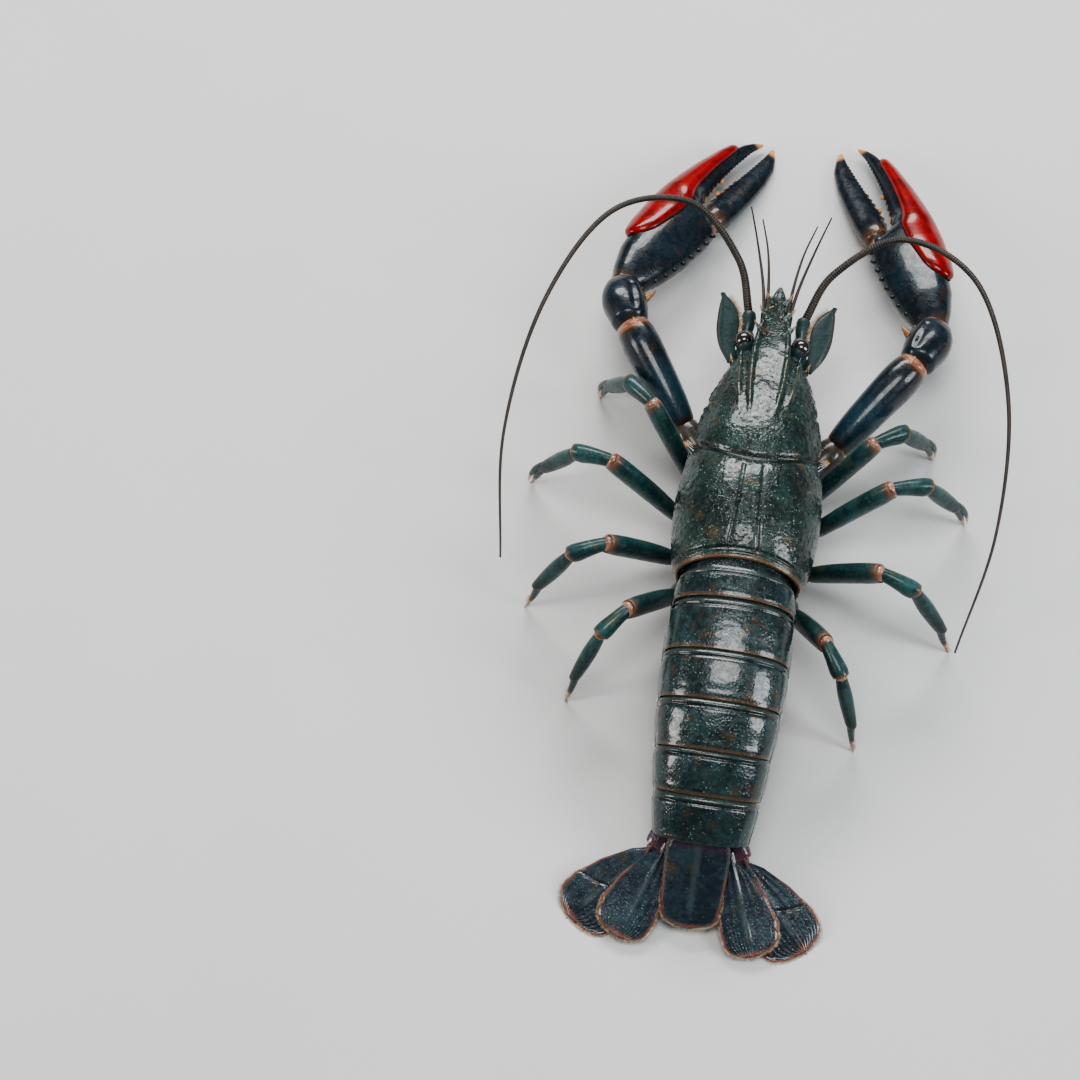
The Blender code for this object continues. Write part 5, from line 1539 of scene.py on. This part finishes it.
for label, side in SIDES.items():
    for number, leg in LEGS.items():
        (base, hip, bend, knee, ankle, foot, tip), heading = leg_places(number, label, side)
        bottom, upper, lower, skin, hair = Form(), Form(), Form(), Form(), Form()
        limb(
            bottom,
            base,
            hip,
            LEG_BASE_SIZE,
            LEG_BASE_SHAPE,
            bow=-0.35,
            count=40,
            steps=50,
            power=2.1,
            press=furrowed,
            rim=lambda t: 0.8 * ease(t, 0.86, 0.95),
        )
        limb(
            upper,
            hip - unit(bend - hip) * 0.8,
            bend,
            LEG_SIZES[0],
            LEG_SECOND_SHAPE,
            count=36,
            power=2.05,
            slant=0.2,
            root=0.5,
            dusk=0.2,
        )
        inside = unit(knee - bend) * 0.8
        limb(upper, bend - inside, knee, LEG_SIZES[1], THIGH_SHAPE, bow=0.45, steps=50, slant=0.30)
        limb(
            lower,
            knee - unit(ankle - knee) * 0.9,
            ankle,
            LEG_SIZES[2],
            KNEE_SHAPE,
            bow=0.35,
            slant=0.35,
            dusk=lambda t: 0.5 * (1 - ease(t, 0.1, 0.6)),
        )
        limb(
            lower,
            ankle - unit(foot - ankle) * 0.9,
            foot,
            LEG_SIZES[3],
            SHIN_SHAPE,
            up=heading,
            slant=0.2,
            dusk=lambda t: 0.7 * ease(t, 0.2, 0.9),
        )
        down = unit(tip - foot)
        nail = {"up": heading, "tip": lambda t: ease(t, 0.45, 0.9), "dusk": lambda t: 0.6 * (1 - t)}
        bow = 0.15 if leg["pincer"] else -0.45
        limb(lower, foot - down * 0.8, tip - down * 0.2, LEG_SIZES[4], NAIL_SHAPE, bow=bow, **nail)
        if leg["pincer"]:
            root = foot - down * 2.6 + heading * 0.7
            point = tip - down + heading
            limb(lower, root, point, PINCER_SIZE, PINCER_SHAPE, bow=0.75, **nail)
        ball(skin, hip, (2.3, 2.2, 1.2), hip - base)
        ball(skin, bend, (1.9, 2.0, 1.3), bend - hip)
        ball(skin, knee, (1.8, 2.15, 1.5), ankle - bend)
        ball(skin, ankle, (1.55, 1.75, 1.3), foot - knee)
        ball(skin, foot, (1.1, 1.2, 0.8), foot - ankle, heading)
        for part in (upper, lower):
            for points in part.points:
                on_floor(points)
        name = f"leg_{number}_{label}"
        bottom.piece(f"{name}_base", under_look, "under_shell")
        upper.piece(f"{name}_thigh", leg_look, "leg_shell", f"leg_{number}_upper_{label}")
        lower.piece(f"{name}_shin", leg_look, "leg_shell", f"leg_{number}_lower_{label}")
        skin.piece(f"{name}_skin", joint_look, "under_shell")
        roots, ways, lengths = [], [], []
        for _ in range(LEG_HAIRS):
            t = dice.uniform(0.35, 1.0)
            a, b = (ankle, foot) if dice.random() < 0.45 else (foot, tip)
            turn = dice.uniform(0, math.tau)
            across = np.cross(unit(b - a), heading)
            out = unit(across * math.cos(turn) + heading * math.sin(turn))
            thick = (1.0 if a is ankle else 0.55) * (1.15 - 0.5 * t)
            roots.append(a + (b - a) * t * 0.92 + out * thick)
            ways.append(out * 0.8 + unit(b - a))
            lengths.append(dice.uniform(0.5, 1.1))
        bristles(hair, roots, ways, lengths, 0.09)
        hair.piece(f"{name}_bristles", hair_look, "feeler")


# Abdomen rings. Six arched plates that slide under one another, each with a smooth band in front,
# a shallow groove, and a rounded lobe hanging at each side whose rim is glassy and pale.
ABDOMEN_LENGTH = 59.0
RING_ENDS = (0.0, 6.0, 17.5, 28.0, 38.5, 48.0, ABDOMEN_LENGTH)
# Distance along the axis, half width, height of back, depth of belly, drop of the side lobes
ABDOMEN = (
    (0.0, 12.6, 9.8, 7.0, 9.0),
    (6.0, 13.6, 9.9, 7.0, 11.5),
    (17.5, 14.1, 9.7, 6.4, 13.2),
    (28.0, 13.7, 9.2, 5.8, 12.4),
    (38.5, 12.9, 8.4, 5.2, 11.4),
    (48.0, 12.0, 7.6, 4.6, 10.2),
    (ABDOMEN_LENGTH, 10.6, 6.4, 3.8, 7.6),
)
# Size of each ring's side lobes, then the depth of a lobe from its front line to its hind line
LOBE_SHARE = (0.25, 1.0, 1.0, 0.95, 0.9, 0.55)
LOBE_SHAPE = (
    (0.0, 0.06),
    (0.10, 0.52),
    (0.26, 0.90),
    (0.46, 1.0),
    (0.68, 0.90),
    (0.86, 0.55),
    (1.0, 0.10),
)
AXIS_Z = 27.0


def axis_slope(reach):
    """How steeply the abdomen's axis runs down at a distance along it."""
    share = np.maximum(0.0, reach) / ABDOMEN_LENGTH
    return np.radians(2.0 + 29.0 * share**1.3)


axis_reach = np.linspace(-6, ABDOMEN_LENGTH + 6, 700)
axis_step = axis_reach[1] - axis_reach[0]
axis_y = np.cumsum(np.cos(axis_slope(axis_reach))) * axis_step
axis_z = -np.cumsum(np.sin(axis_slope(axis_reach))) * axis_step
axis_y += SHELL_LENGTH + 0.3 - np.interp(0, axis_reach, axis_y)
axis_z += AXIS_Z - np.interp(0, axis_reach, axis_z)


def bent(reach, x, z):
    """Places beside the abdomen's bent axis: reach along it, x across and z away from it."""
    reach, x, z = np.broadcast_arrays(reach, x, z)
    slope = axis_slope(reach)
    y = np.interp(reach, axis_reach, axis_y) + np.sin(slope) * z
    return np.stack([x, y, np.interp(reach, axis_reach, axis_z) + np.cos(slope) * z], -1)


tail_look = shell_finish(
    "wet_tail_shell",
    (0.005, 0.011, 0.012),
    (0.015, 0.034, 0.035),
    (0.042, 0.024, 0.010),
    (0.15, 0.22, 0.21),
    (
        ("lobe", (0.035, 0.085, 0.085), 0.8),
        ("glass", (0.34, 0.47, 0.46), 0.9),
        ("rim", (0.072, 0.036, 0.018), 0.8),
        # Painted shade in the grooves and on the front of each ring that slides under the one before
        ("groove", (0.003, 0.006, 0.007), 0.75),
        ("band", (0.032, 0.042, 0.036), 0.6),
        ("inside", (0.20, 0.25, 0.235), 0.85),
        ("hinge", (0.22, 0.065, 0.030), 0.75),
    ),
    grain=0.7,
    depth=0.06,
    rough=0.20,
    coat=0.6,
)
for index in range(6):
    start, end = RING_ENDS[index], RING_ENDS[index + 1]
    lead = 1.6 if index else 2.6
    lip = 0.9 if index < 5 else 0.0
    length = end - start + lead + lip
    rows, half_cols = 64, 44
    u = np.linspace(0, 1, rows)[:, None]
    v = np.linspace(-1, 1, 2 * half_cols + 1)[None, :]
    w = np.abs(v)
    reach = start - lead + length * u
    half, height, belly, drop = (smooth(ABDOMEN, reach[:, 0])[:, k][:, None] for k in range(4))
    # 0 at the plate's own front line, 1 at its hind line, leaving out the part that slides under
    own = (reach - start) / (end - start)
    tuck = 0.80 * (1 - ease(own, 0.02, 0.20)) + 0.35 * (1 - ease(own, -0.1, 0.06))
    # The first one fills the shell's hind opening
    tuck = tuck if index else tuck * 0.3 - 0.25
    bulge = 0.22 * np.sin(math.pi * np.clip(own, 0, 1)) + 0.10 * hump(own, 0.97, 0.07)
    groove = hump(own, 0.24, 0.035)
    flat = np.stack([21 * v + 0 * u, reach + 0 * v, index * 40 + 0 * u * v], -1).reshape(-1, 3)
    uneven = (0.10 * swell(flat, 3.4) + 0.04 * swell(flat + 5, 1.3)).reshape(rows, -1)
    raised = bulge - tuck - 0.28 * groove + uneven * ease(own, 0.2, 0.3)
    # The arched back takes this share of the way across, and the side lobes the rest.
    arch = 0.60
    turn = math.pi / 2 * (1 - np.clip(w / arch, 0, 1))
    lobe = LOBE_SHARE[index]
    low = -(belly + 0.4 + (drop - belly) * lobe * smooth(LOBE_SHAPE, np.clip(own[:, 0], 0, 1)))
    down = np.clip((w - arch) / (1 - arch), 0, 1)
    flare = 0.25 * ease(down, 0, 0.3) + 0.55 * down**2 * lobe - 0.5 * ease(down, 0.8, 1.0)
    dent = 0.35 * hump(down, 0.16, 0.09) * ease(own, 0.1, 0.3)
    x = np.sign(v) * ((half + raised) * np.cos(turn) ** 0.9 + flare - dent)
    z = (height + raised) * np.sin(turn) ** 0.9 + low * down
    # Each lobe leans backwards and is fullest in its middle.
    back = 1.7 * down**1.4 * lobe
    squeeze = ((start + end) / 2 - reach) * 0.16 * down**2 * lobe
    grid = bent(reach + back + squeeze, x, z)
    near_edge = np.minimum(1 - w, np.minimum(1 - u, u))
    thick = 0.28 + 0.55 * ease(near_edge, 0.0, 0.08)
    ends = np.maximum(ease(own, 0.86, 1.0), 1 - ease(own, 0.0, 0.14))
    around = np.maximum(ease(down, 0.78, 0.97), ease(down, 0.3, 0.7) * ends)
    ring = Form()
    ring.plate(
        grid,
        -thick,
        lobe=0.62 * ease(down, 0.05, 0.9) + 0 * u,
        glass=0.8 * around * lobe,
        rim=0.66 * ease(own, 0.99, 1.03) * (1 - ease(down, 0.1, 0.4)),
        # Painted shade: the groove value darkens the groove and the front that slides under the ring
        # before.
        groove=(groove + (1 - ease(own, -0.08, 0.0))) * (1 - 0.6 * down),
        band=hump(own, 0.12, 0.07) + 0 * w,
        hinge=hump(own, 0.18, 0.10) * hump(w, arch + 0.03, 0.035),
    )
    ring.piece(f"tail_ring_{index + 1}", tail_look, "tail_shell", f"abdomen_{index + 1}")


# Belly. Soft amber skin between the side lobes, crossed by stiff white bars, one at each ring.
belly_look = skin_finish(
    "belly_skin",
    (0.40, 0.230, 0.120),
    (0.20, 0.088, 0.040),
    (0.125, 0.036, 0.018),
)
bar_look = skin_finish("belly_bars", (0.62, 0.66, 0.62), (0.44, 0.44, 0.38), (0.40, 0.28, 0.18))
belly_form = Form()
# It starts under the shell, behind the breast plate.
BELLY_START = -9.5
reach = np.linspace(BELLY_START, ABDOMEN_LENGTH - 0.4, 420)
half, _, belly, _ = smooth(ABDOMEN, reach).T
bars_at = [end - 1.2 for end in RING_ENDS[1:]]
fold = sum(hump(reach, at, 1.5) for at in bars_at)
front = 1 - ease(reach, -4.0, 1.5)
wide = half - 1.2 - 0.8 * front
turn = np.linspace(0, math.tau, 120, endpoint=False)
sag = belly + 0.45 + 2.7 * front - 2.0 * (1 - ease(reach, BELLY_START, -7.0)) - 0.75 * fold
x = wide[:, None] * squared(np.cos(turn), 0.8)
z = np.where(np.sin(turn) < 0, -sag[:, None] * np.abs(np.sin(turn)) ** 0.45, 2.0 * np.sin(turn))
# Soft pillows and fine cross creases
flat = np.stack([x * 0.5, reach[:, None] + 0 * x, 0 * x], -1).reshape(-1, 3)
wander = swell(flat, 3.0).reshape(x.shape)
creases = 0.05 * np.sin(reach[:, None] * 2.6 + 4.0 * wander) + 0.35 * wander
lengthwise = 0.35 * hump(np.abs(x), 0.0, 1.0) + 0.25 * hump(np.abs(x), wide[:, None] * 0.62, 1.3)
z = z + np.where(np.sin(turn) < 0, (creases + lengthwise) * np.abs(np.sin(turn)) ** 0.6, 0.0)
belly_form.skin(bent(reach[:, None], x, z))
belly_form.piece("belly_soft_skin", belly_look, "under_shell")
bars = Form()
for at in bars_at:
    half, _, belly, _ = smooth(ABDOMEN, at)
    t = np.linspace(-1, 1, 41)
    path = bent(at + 1.1 * t * t, t * (half - 1.2), -(belly - 0.10) + 2.2 * np.abs(t) ** 6)
    size = 0.62 * (1 - 0.35 * t * t) * (1 + 0.12 * np.cos(t * 9))
    bars.skin(tube(path, size, 0.55, FORWARD, 16))
bars.piece("belly_cross_bars", bar_look, "under_shell")


# Swimmerets. Small two-bladed paddles under rings two to five: a short stem, then two thin tan
# blades with a stiff midrib and a fringe of hair.

# The two blades: sideways spread and length
SWIM_BLADES = ((2.6, 7.6), (-1.9, 8.6))
SWIM_HAIRS = 90
swim_look = skin_finish("swimmeret_skin", (0.36, 0.24, 0.12), (0.16, 0.10, 0.048), (0.26, 0.12, 0.05))
for index in range(1, 5):
    middle = (RING_ENDS[index] + RING_ENDS[index + 1] + 0.3) / 2 - 1.0
    belly = smooth(ABDOMEN, middle)[2]
    blades, hair = Form(), Form()
    for side in SIDES.values():
        root = np.array((middle, 6.2 * side, -(belly - 0.4)))
        stem = root + (1.6, 0.5 * side, -2.4)
        shape = ((0, 0.9), (0.5, 1.0), (1.0, 0.95))
        limb(blades, bent(*root), bent(*stem), (0.85, 0.7), shape, up=FORWARD, count=18, steps=16)
        for spread, long in SWIM_BLADES:
            t = np.linspace(0, 1, 40)
            out = stem[1] + side * spread * np.sin(1.4 * t)
            path = bent(stem[0] - 0.4 + long * t, out, stem[2] - 0.2 - 1.2 * np.sin(2.2 * t))
            width = 0.98 * np.sin(math.pi * np.clip(0.16 + 0.80 * t, 0, 1)) ** 0.7
            blades.skin(tube(path, width, 0.24 + 0.22 * hump(t, 0.1, 0.4), UP, 18))
            roots, ways, lengths = [], [], []
            for k in range(SWIM_HAIRS):
                s = 0.25 + 0.75 * k / (SWIM_HAIRS - 1)
                spot = np.array([np.interp(s, t, path[:, i]) for i in range(3)])
                way = (1, -1)[k % 2]
                roots.append(spot + (way * np.interp(s, t, width) * 0.9, 0, 0))
                ways.append((way * (0.9 - 0.6 * s), 0.8 + dice.uniform(-0.1, 0.2), -0.25))
                lengths.append(dice.uniform(0.9, 1.7))
            bristles(hair, roots, ways, lengths, 0.10)
    blades.piece(f"swimmerets_{index + 1}", swim_look, "under_shell")
    hair.piece(f"swimmeret_fringe_{index + 1}", fringe_look, "feeler")


# Tail fan. A middle plate and two broad blades a side on a short root. Thin and stiff, navy to
# black, ribbed, with brown-pink see-through margins, a jointed outer blade and a hair fringe.
MIDDLE_LENGTH, INNER_LENGTH, OUTER_LENGTH = 21.0, 21.5, 23.5
# Share of the length, then reach to the inner and to the outer edge
MIDDLE_OUTLINE = (
    (0.0, 6.6, 6.6),
    (0.15, 7.5, 7.5),
    (0.45, 7.3, 7.3),
    (0.75, 6.9, 6.9),
    (0.9, 5.9, 5.9),
    (0.975, 4.0, 4.0),
    (1.0, 2.2, 2.2),
)
INNER_OUTLINE = (
    (0.0, 1.6, 1.4),
    (0.12, 3.4, 3.4),
    (0.42, 5.1, 6.2),
    (0.7, 5.7, 7.3),
    (0.88, 5.2, 6.5),
    (0.97, 3.8, 4.5),
    (1.0, 2.0, 2.6),
)
OUTER_OUTLINE = (
    (0.0, 1.4, 1.2),
    (0.12, 4.0, 3.2),
    (0.42, 7.6, 5.8),
    (0.7, 8.6, 6.9),
    (0.88, 7.4, 6.4),
    (0.97, 4.9, 4.5),
    (1.0, 2.5, 2.5),
)
# A plate's end is rounded off from one share of its length on, and over another
ROUND_FROM, ROUND_OVER = 0.80, 0.20
TAIL_GAP = 0.3
TAIL_ROOT_SIZE = (3.3, 1.8)
TAIL_ROOT_SHAPE = ((0, 0.9), (0.4, 1.05), (0.8, 1.06), (1.0, 1.0))
# The upper faces of the plates stay this far above the floor
FACE_GAP = 0.25
fan_look = shell_finish(
    "wet_tail_fan",
    (0.007, 0.012, 0.018),
    (0.017, 0.034, 0.042),
    (0.045, 0.026, 0.016),
    (0.12, 0.17, 0.18),
    (
        ("root", (0.10, 0.026, 0.060), 0.75),
        ("rim", (0.17, 0.060, 0.040), 0.8),
        # Painted shade in the cross joint's groove
        ("groove", (0.004, 0.006, 0.008), 0.7),
        ("rib", (0.040, 0.058, 0.060), 0.6),
    ),
    grain=0.6,
    depth=0.05,
    rough=0.20,
    coat=0.6,
    specks=0.3,
)


def fan_plate(
    form,
    hair,
    root,
    slope,
    spread,
    length,
    outline,
    thick,
    camber,
    roll,
    curl,
    spines,
    joint=None,
    lead=0.0,
):
    """One tail plate with its hair, along a line that bends up to its tip.

    Slope, spread, roll and curl are degrees. Joint is the share of its length where a cross joint
    lies, and lead is how far it reaches back into its root, as wide as it starts.
    """
    side = 1 if spread >= 0 else -1
    heading = math.radians(spread)
    rows, cols = 96, 61
    share = 1 - (1 - np.linspace(0, 1, rows)) ** 1.5
    rise = np.radians(slope + curl * share)
    level = np.array((math.sin(heading), math.cos(heading), 0))
    along = level * np.cos(rise)[:, None] + UP * np.sin(rise)[:, None]
    step = np.diff(share, prepend=0) * (length + lead)
    path = np.asarray(root, float) - along[0] * lead + np.cumsum(along * step[:, None], axis=0)
    across = np.array((math.cos(heading), -math.sin(heading), 0)) * side
    tilt = math.radians(-roll * side)
    across = across * math.cos(tilt) + np.cross(along, across) * math.sin(tilt)
    normal = unit(np.cross(across, along))
    normal = np.where(normal[:, 2:] < 0, -normal, normal)
    reach = np.clip((share * (length + lead) - lead) / length, 0, 1)
    inner, outer = softened(outline, reach, 0.02).T
    past = np.clip((share - ROUND_FROM) / ROUND_OVER, 0, 1)
    round_end = np.sqrt(np.clip(1 - past**2.6, 0, 1))
    inner, outer = (
        np.where(share > ROUND_FROM, np.interp(ROUND_FROM, share, side_line) * round_end, side_line)
        for side_line in (inner, outer)
    )
    u = np.linspace(-1, 1, cols)[None, :]
    x = np.where(u < 0, inner[:, None] * u, outer[:, None] * u)
    s = share[:, None]
    ribs = 0.30 * hump(u, 0.0, 0.14) * (1 - ease(s, 0.75, 0.98))
    for way in (-0.42, 0.42, -0.72, 0.72):
        ribs = ribs + 0.09 * hump(u, way, 0.08) * ease(s, 0.1, 0.3) * (1 - ease(s, 0.7, 0.9))
    suture = 0 * s * u
    if joint:
        line = joint + 0.07 * u * u - 0.05 * hump(u, 0.0, 0.25)
        suture = hump(s, line, 0.014)
        ribs = ribs * (1 - 0.7 * suture)
    fan_lines = 0.05 * np.cos(u * 46 + 3 * s) * ease(s, 0.62, 0.85)
    bow = camber * (1 - u * u) + ribs - 0.30 * suture + fan_lines
    from_side = (1 - np.abs(u)) * np.maximum(inner, outer)[:, None] / 1.3
    edge = 1 - np.minimum(from_side, (1 - s) * length / 1.9).clip(0, 1)
    body = thick * (1 - 0.55 * s)
    depth = 0.22 + (body - 0.22) * (1 - edge**2)
    grid = path[:, None] + across[..., None, :] * x[..., None]
    grid = grid + normal[:, None] * (bow + depth / 2)[..., None]
    # The thickness goes down from the upper face, whichever way the grid runs.
    at = rows // 2, cols // 2
    turned = np.cross(np.gradient(grid, axis=0)[at], np.gradient(grid, axis=1)[at])
    downward = 1.0 if turned @ normal[rows // 2] > 0 else -1.0
    grid[..., 2] = np.maximum(grid[..., 2], FACE_GAP)
    form.plate(
        grid,
        depth * downward,
        rim=edge**1.6 * ease(s, 0.15, 0.5),
        # Painted shade: the groove value darkens the sunk cross joint.
        groove=suture,
        rib=np.clip(ribs * 2.4, 0, 1) * (1 - edge),
        root=0.55 * (1 - ease(s, 0.0, 0.25)),
    )
    on_floor(form.points[-1])
    for at, way, long in spines:
        row = int(np.searchsorted(share, at))
        out = across[row] * (outer if way > 0 else -inner)[row] * 0.93
        foot = path[row] + out + normal[row] * (bow[row, -1 if way > 0 else 0] + 0.1)
        point = foot + along[row] * long + across[row] * way * long * 0.35
        horn(form, foot, point, 0.5, rim=0.6)
    # The hair fringe follows the hind margin.
    behind = share > 0.60
    margin = np.concatenate([grid[behind, 0], grid[-1], grid[behind, -1][::-1]])
    run = np.concatenate([[0], np.cumsum(np.linalg.norm(np.diff(margin, axis=0), axis=1))])
    count = int(run[-1] / 0.11)
    spots_at = np.linspace(0, run[-1], count)
    roots = np.stack([np.interp(spots_at, run, margin[:, i]) for i in range(3)], 1)
    away = unit(roots - path[int(rows * 0.42)])
    jitter = np.array([[dice.uniform(-0.10, 0.10) for _ in range(3)] for _ in range(count)])
    share_run = spots_at / run[-1]
    grown = 0.25 + 0.75 * ease(share_run, 0.0, 0.15) * (1 - ease(share_run, 0.85, 1.0))
    lengths = grown * np.array([dice.uniform(0.8, 1.15) for _ in range(count)])
    roots[:, 2] = np.maximum(roots[:, 2] - 0.15, 0.12)
    ways = away + jitter
    ways[:, 2] = np.maximum(ways[:, 2], (0.1 - roots[:, 2]) / 1.6)
    bristles(hair, roots, ways, lengths, 0.12)


tail_end = bent(ABDOMEN_LENGTH, 0, 0)
end_slope = axis_slope(ABDOMEN_LENGTH)
end_along = np.array((0, math.cos(end_slope), -math.sin(end_slope)))
end_normal = np.array((0, math.sin(end_slope), math.cos(end_slope)))
middle_plate, fringe = Form(), Form()
fan_plate(
    middle_plate,
    fringe,
    tail_end - end_along * 0.9 + end_normal * 2.2,
    slope=-38,
    spread=0,
    length=MIDDLE_LENGTH,
    outline=MIDDLE_OUTLINE,
    thick=2.6,
    camber=0.9,
    roll=0,
    curl=10,
    spines=((0.60, 1, 1.6), (0.60, -1, 1.6)),
)
middle_plate.piece("tail_middle_plate", fan_look, "tail_shell", "telson")
fringe.piece("tail_middle_fringe", fringe_look, "feeler")
for label, side in SIDES.items():
    out = mirrored((1, 0, 0), side)
    base = tail_end + end_along * TAIL_GAP + out * 6.6 - end_normal * 2.4
    knuckle = base + end_along * 3.2 + out * 2.4
    root_form = Form()
    limb(
        root_form,
        base - end_along * 1.2,
        knuckle + end_along * 0.5,
        TAIL_ROOT_SIZE,
        TAIL_ROOT_SHAPE,
        up=end_normal,
        count=40,
        steps=50,
        power=2.4,
        press=furrowed,
        root=0.52,
    )
    ball(root_form, knuckle + end_along * 0.4, (2.7, 1.45, 1.3), end_along, end_normal, root=0.4)
    foot = knuckle + out * 1.6 + end_normal * 0.9
    horn(root_form, foot, foot + out + end_normal * 0.1 + end_along * 2.4, 0.7, rim=0.5)
    root_form.piece(f"tail_root_{label}", fan_look, "tail_shell", f"tail_base_{label}")
    blade, fringe = Form(), Form()
    fan_plate(
        blade,
        fringe,
        knuckle + (0, 1.5, 0.7) - out * 1.2,
        slope=-25,
        spread=21 * side,
        length=INNER_LENGTH,
        outline=INNER_OUTLINE,
        thick=1.1,
        camber=0.5,
        roll=6,
        curl=11,
        spines=((0.78, 1, 1.2),),
        lead=2.4,
    )
    blade.piece(f"tail_inner_blade_{label}", fan_look, "tail_shell", f"tail_inner_{label}")
    fringe.piece(f"tail_inner_fringe_{label}", fringe_look, "feeler")
    blade, fringe = Form(), Form()
    fan_plate(
        blade,
        fringe,
        knuckle + (0, 1.2, -1.1) + out * 1.6,
        slope=-23.2,
        spread=46 * side,
        length=OUTER_LENGTH,
        outline=OUTER_OUTLINE,
        thick=1.1,
        camber=0.3,
        roll=8,
        curl=10,
        spines=((0.62, 1, 1.5),),
        joint=0.62,
        lead=2.0,
    )
    blade.piece(f"tail_outer_blade_{label}", fan_look, "tail_shell", f"tail_outer_{label}")
    fringe.piece(f"tail_outer_fringe_{label}", fringe_look, "feeler")


# Studio. A pale floor, soft light from above and a longer panel past the head, whose reflection
# gives the wet shell its broken highlights. The camera looks steeply down from the tail side.
FLOOR_HALF = 3.0
floor_mesh = bpy.data.meshes.new("floor")
corners = [(x * FLOOR_HALF, y * FLOOR_HALF, 0) for x, y in ((-1, -1), (1, -1), (1, 1), (-1, 1))]
floor_mesh.from_pydata(corners, [], [(0, 1, 2, 3)])
floor = bpy.data.objects.new("floor", floor_mesh)
bpy.context.scene.collection.objects.link(floor)
paper = Finish("pale_paper", {})
paper.wear("Base Color", paper.mix((0.42, 0.42, 0.416), (0.445, 0.445, 0.44), paper.clouds(40.0, 3)))
paper.wear("Roughness", 0.7 + 0.1 * paper.clouds(3.0, 3))
floor_mesh.materials.append(paper.material)

world = bpy.data.worlds.new("studio")
bpy.context.scene.world = world
world.use_nodes = True
sky = world.node_tree.nodes["Background"].inputs
sky["Color"].default_value = (0.92, 0.95, 1.0, 1)
sky["Strength"].default_value = 0.20


def aim(obj, target):
    """Turns a light or camera towards a place, upright."""
    way = unit(np.asarray(target, float) - np.array(obj.location))
    obj.rotation_euler = (math.acos(-way[2]), 0, math.atan2(-way[0], way[1]))


def panel(name, place, size, power, colour=(1, 1, 1)):
    light = bpy.data.lights.new(name, "AREA")
    light.shape = "ELLIPSE"
    light.size, light.size_y = size
    light.energy = power
    light.color = colour
    obj = bpy.data.objects.new(name, light)
    bpy.context.scene.collection.objects.link(obj)
    obj.location = place
    aim(obj, (0, 0, 0.02))


panel("light_over_head", (0.14, -0.66, 0.62), (0.80, 0.30), 10.5)
panel("light_left", (-0.75, 0.15, 0.55), (0.30, 0.60), 7.0, (0.93, 0.97, 1.0))
panel("light_right", (0.80, 0.30, 0.45), (0.25, 0.50), 5.0, (1.0, 0.97, 0.93))
panel("light_top", (0.0, 0.10, 1.10), (0.55, 0.38), 7.0)
bpy.context.scene.view_settings.look = "AgX - Medium High Contrast"

# The picture spans 250 mm at the animal, which stands right of its middle as in the photo.
AZIMUTH, ELEVATION, DISTANCE = 189.0, 66.0, 0.82
LENS = 118.0
AIM_AT = (0.046, 0.017, 0.015)
view = bpy.data.cameras.new("camera")
view.lens = LENS
camera = bpy.data.objects.new("camera", view)
bpy.context.scene.collection.objects.link(camera)
a, e = math.radians(AZIMUTH), math.radians(ELEVATION)
back = np.array((math.sin(a) * math.cos(e), -math.cos(a) * math.cos(e), math.sin(e)))
camera.location = np.array(AIM_AT) + back * DISTANCE
aim(camera, AIM_AT)
bpy.context.scene.camera = camera
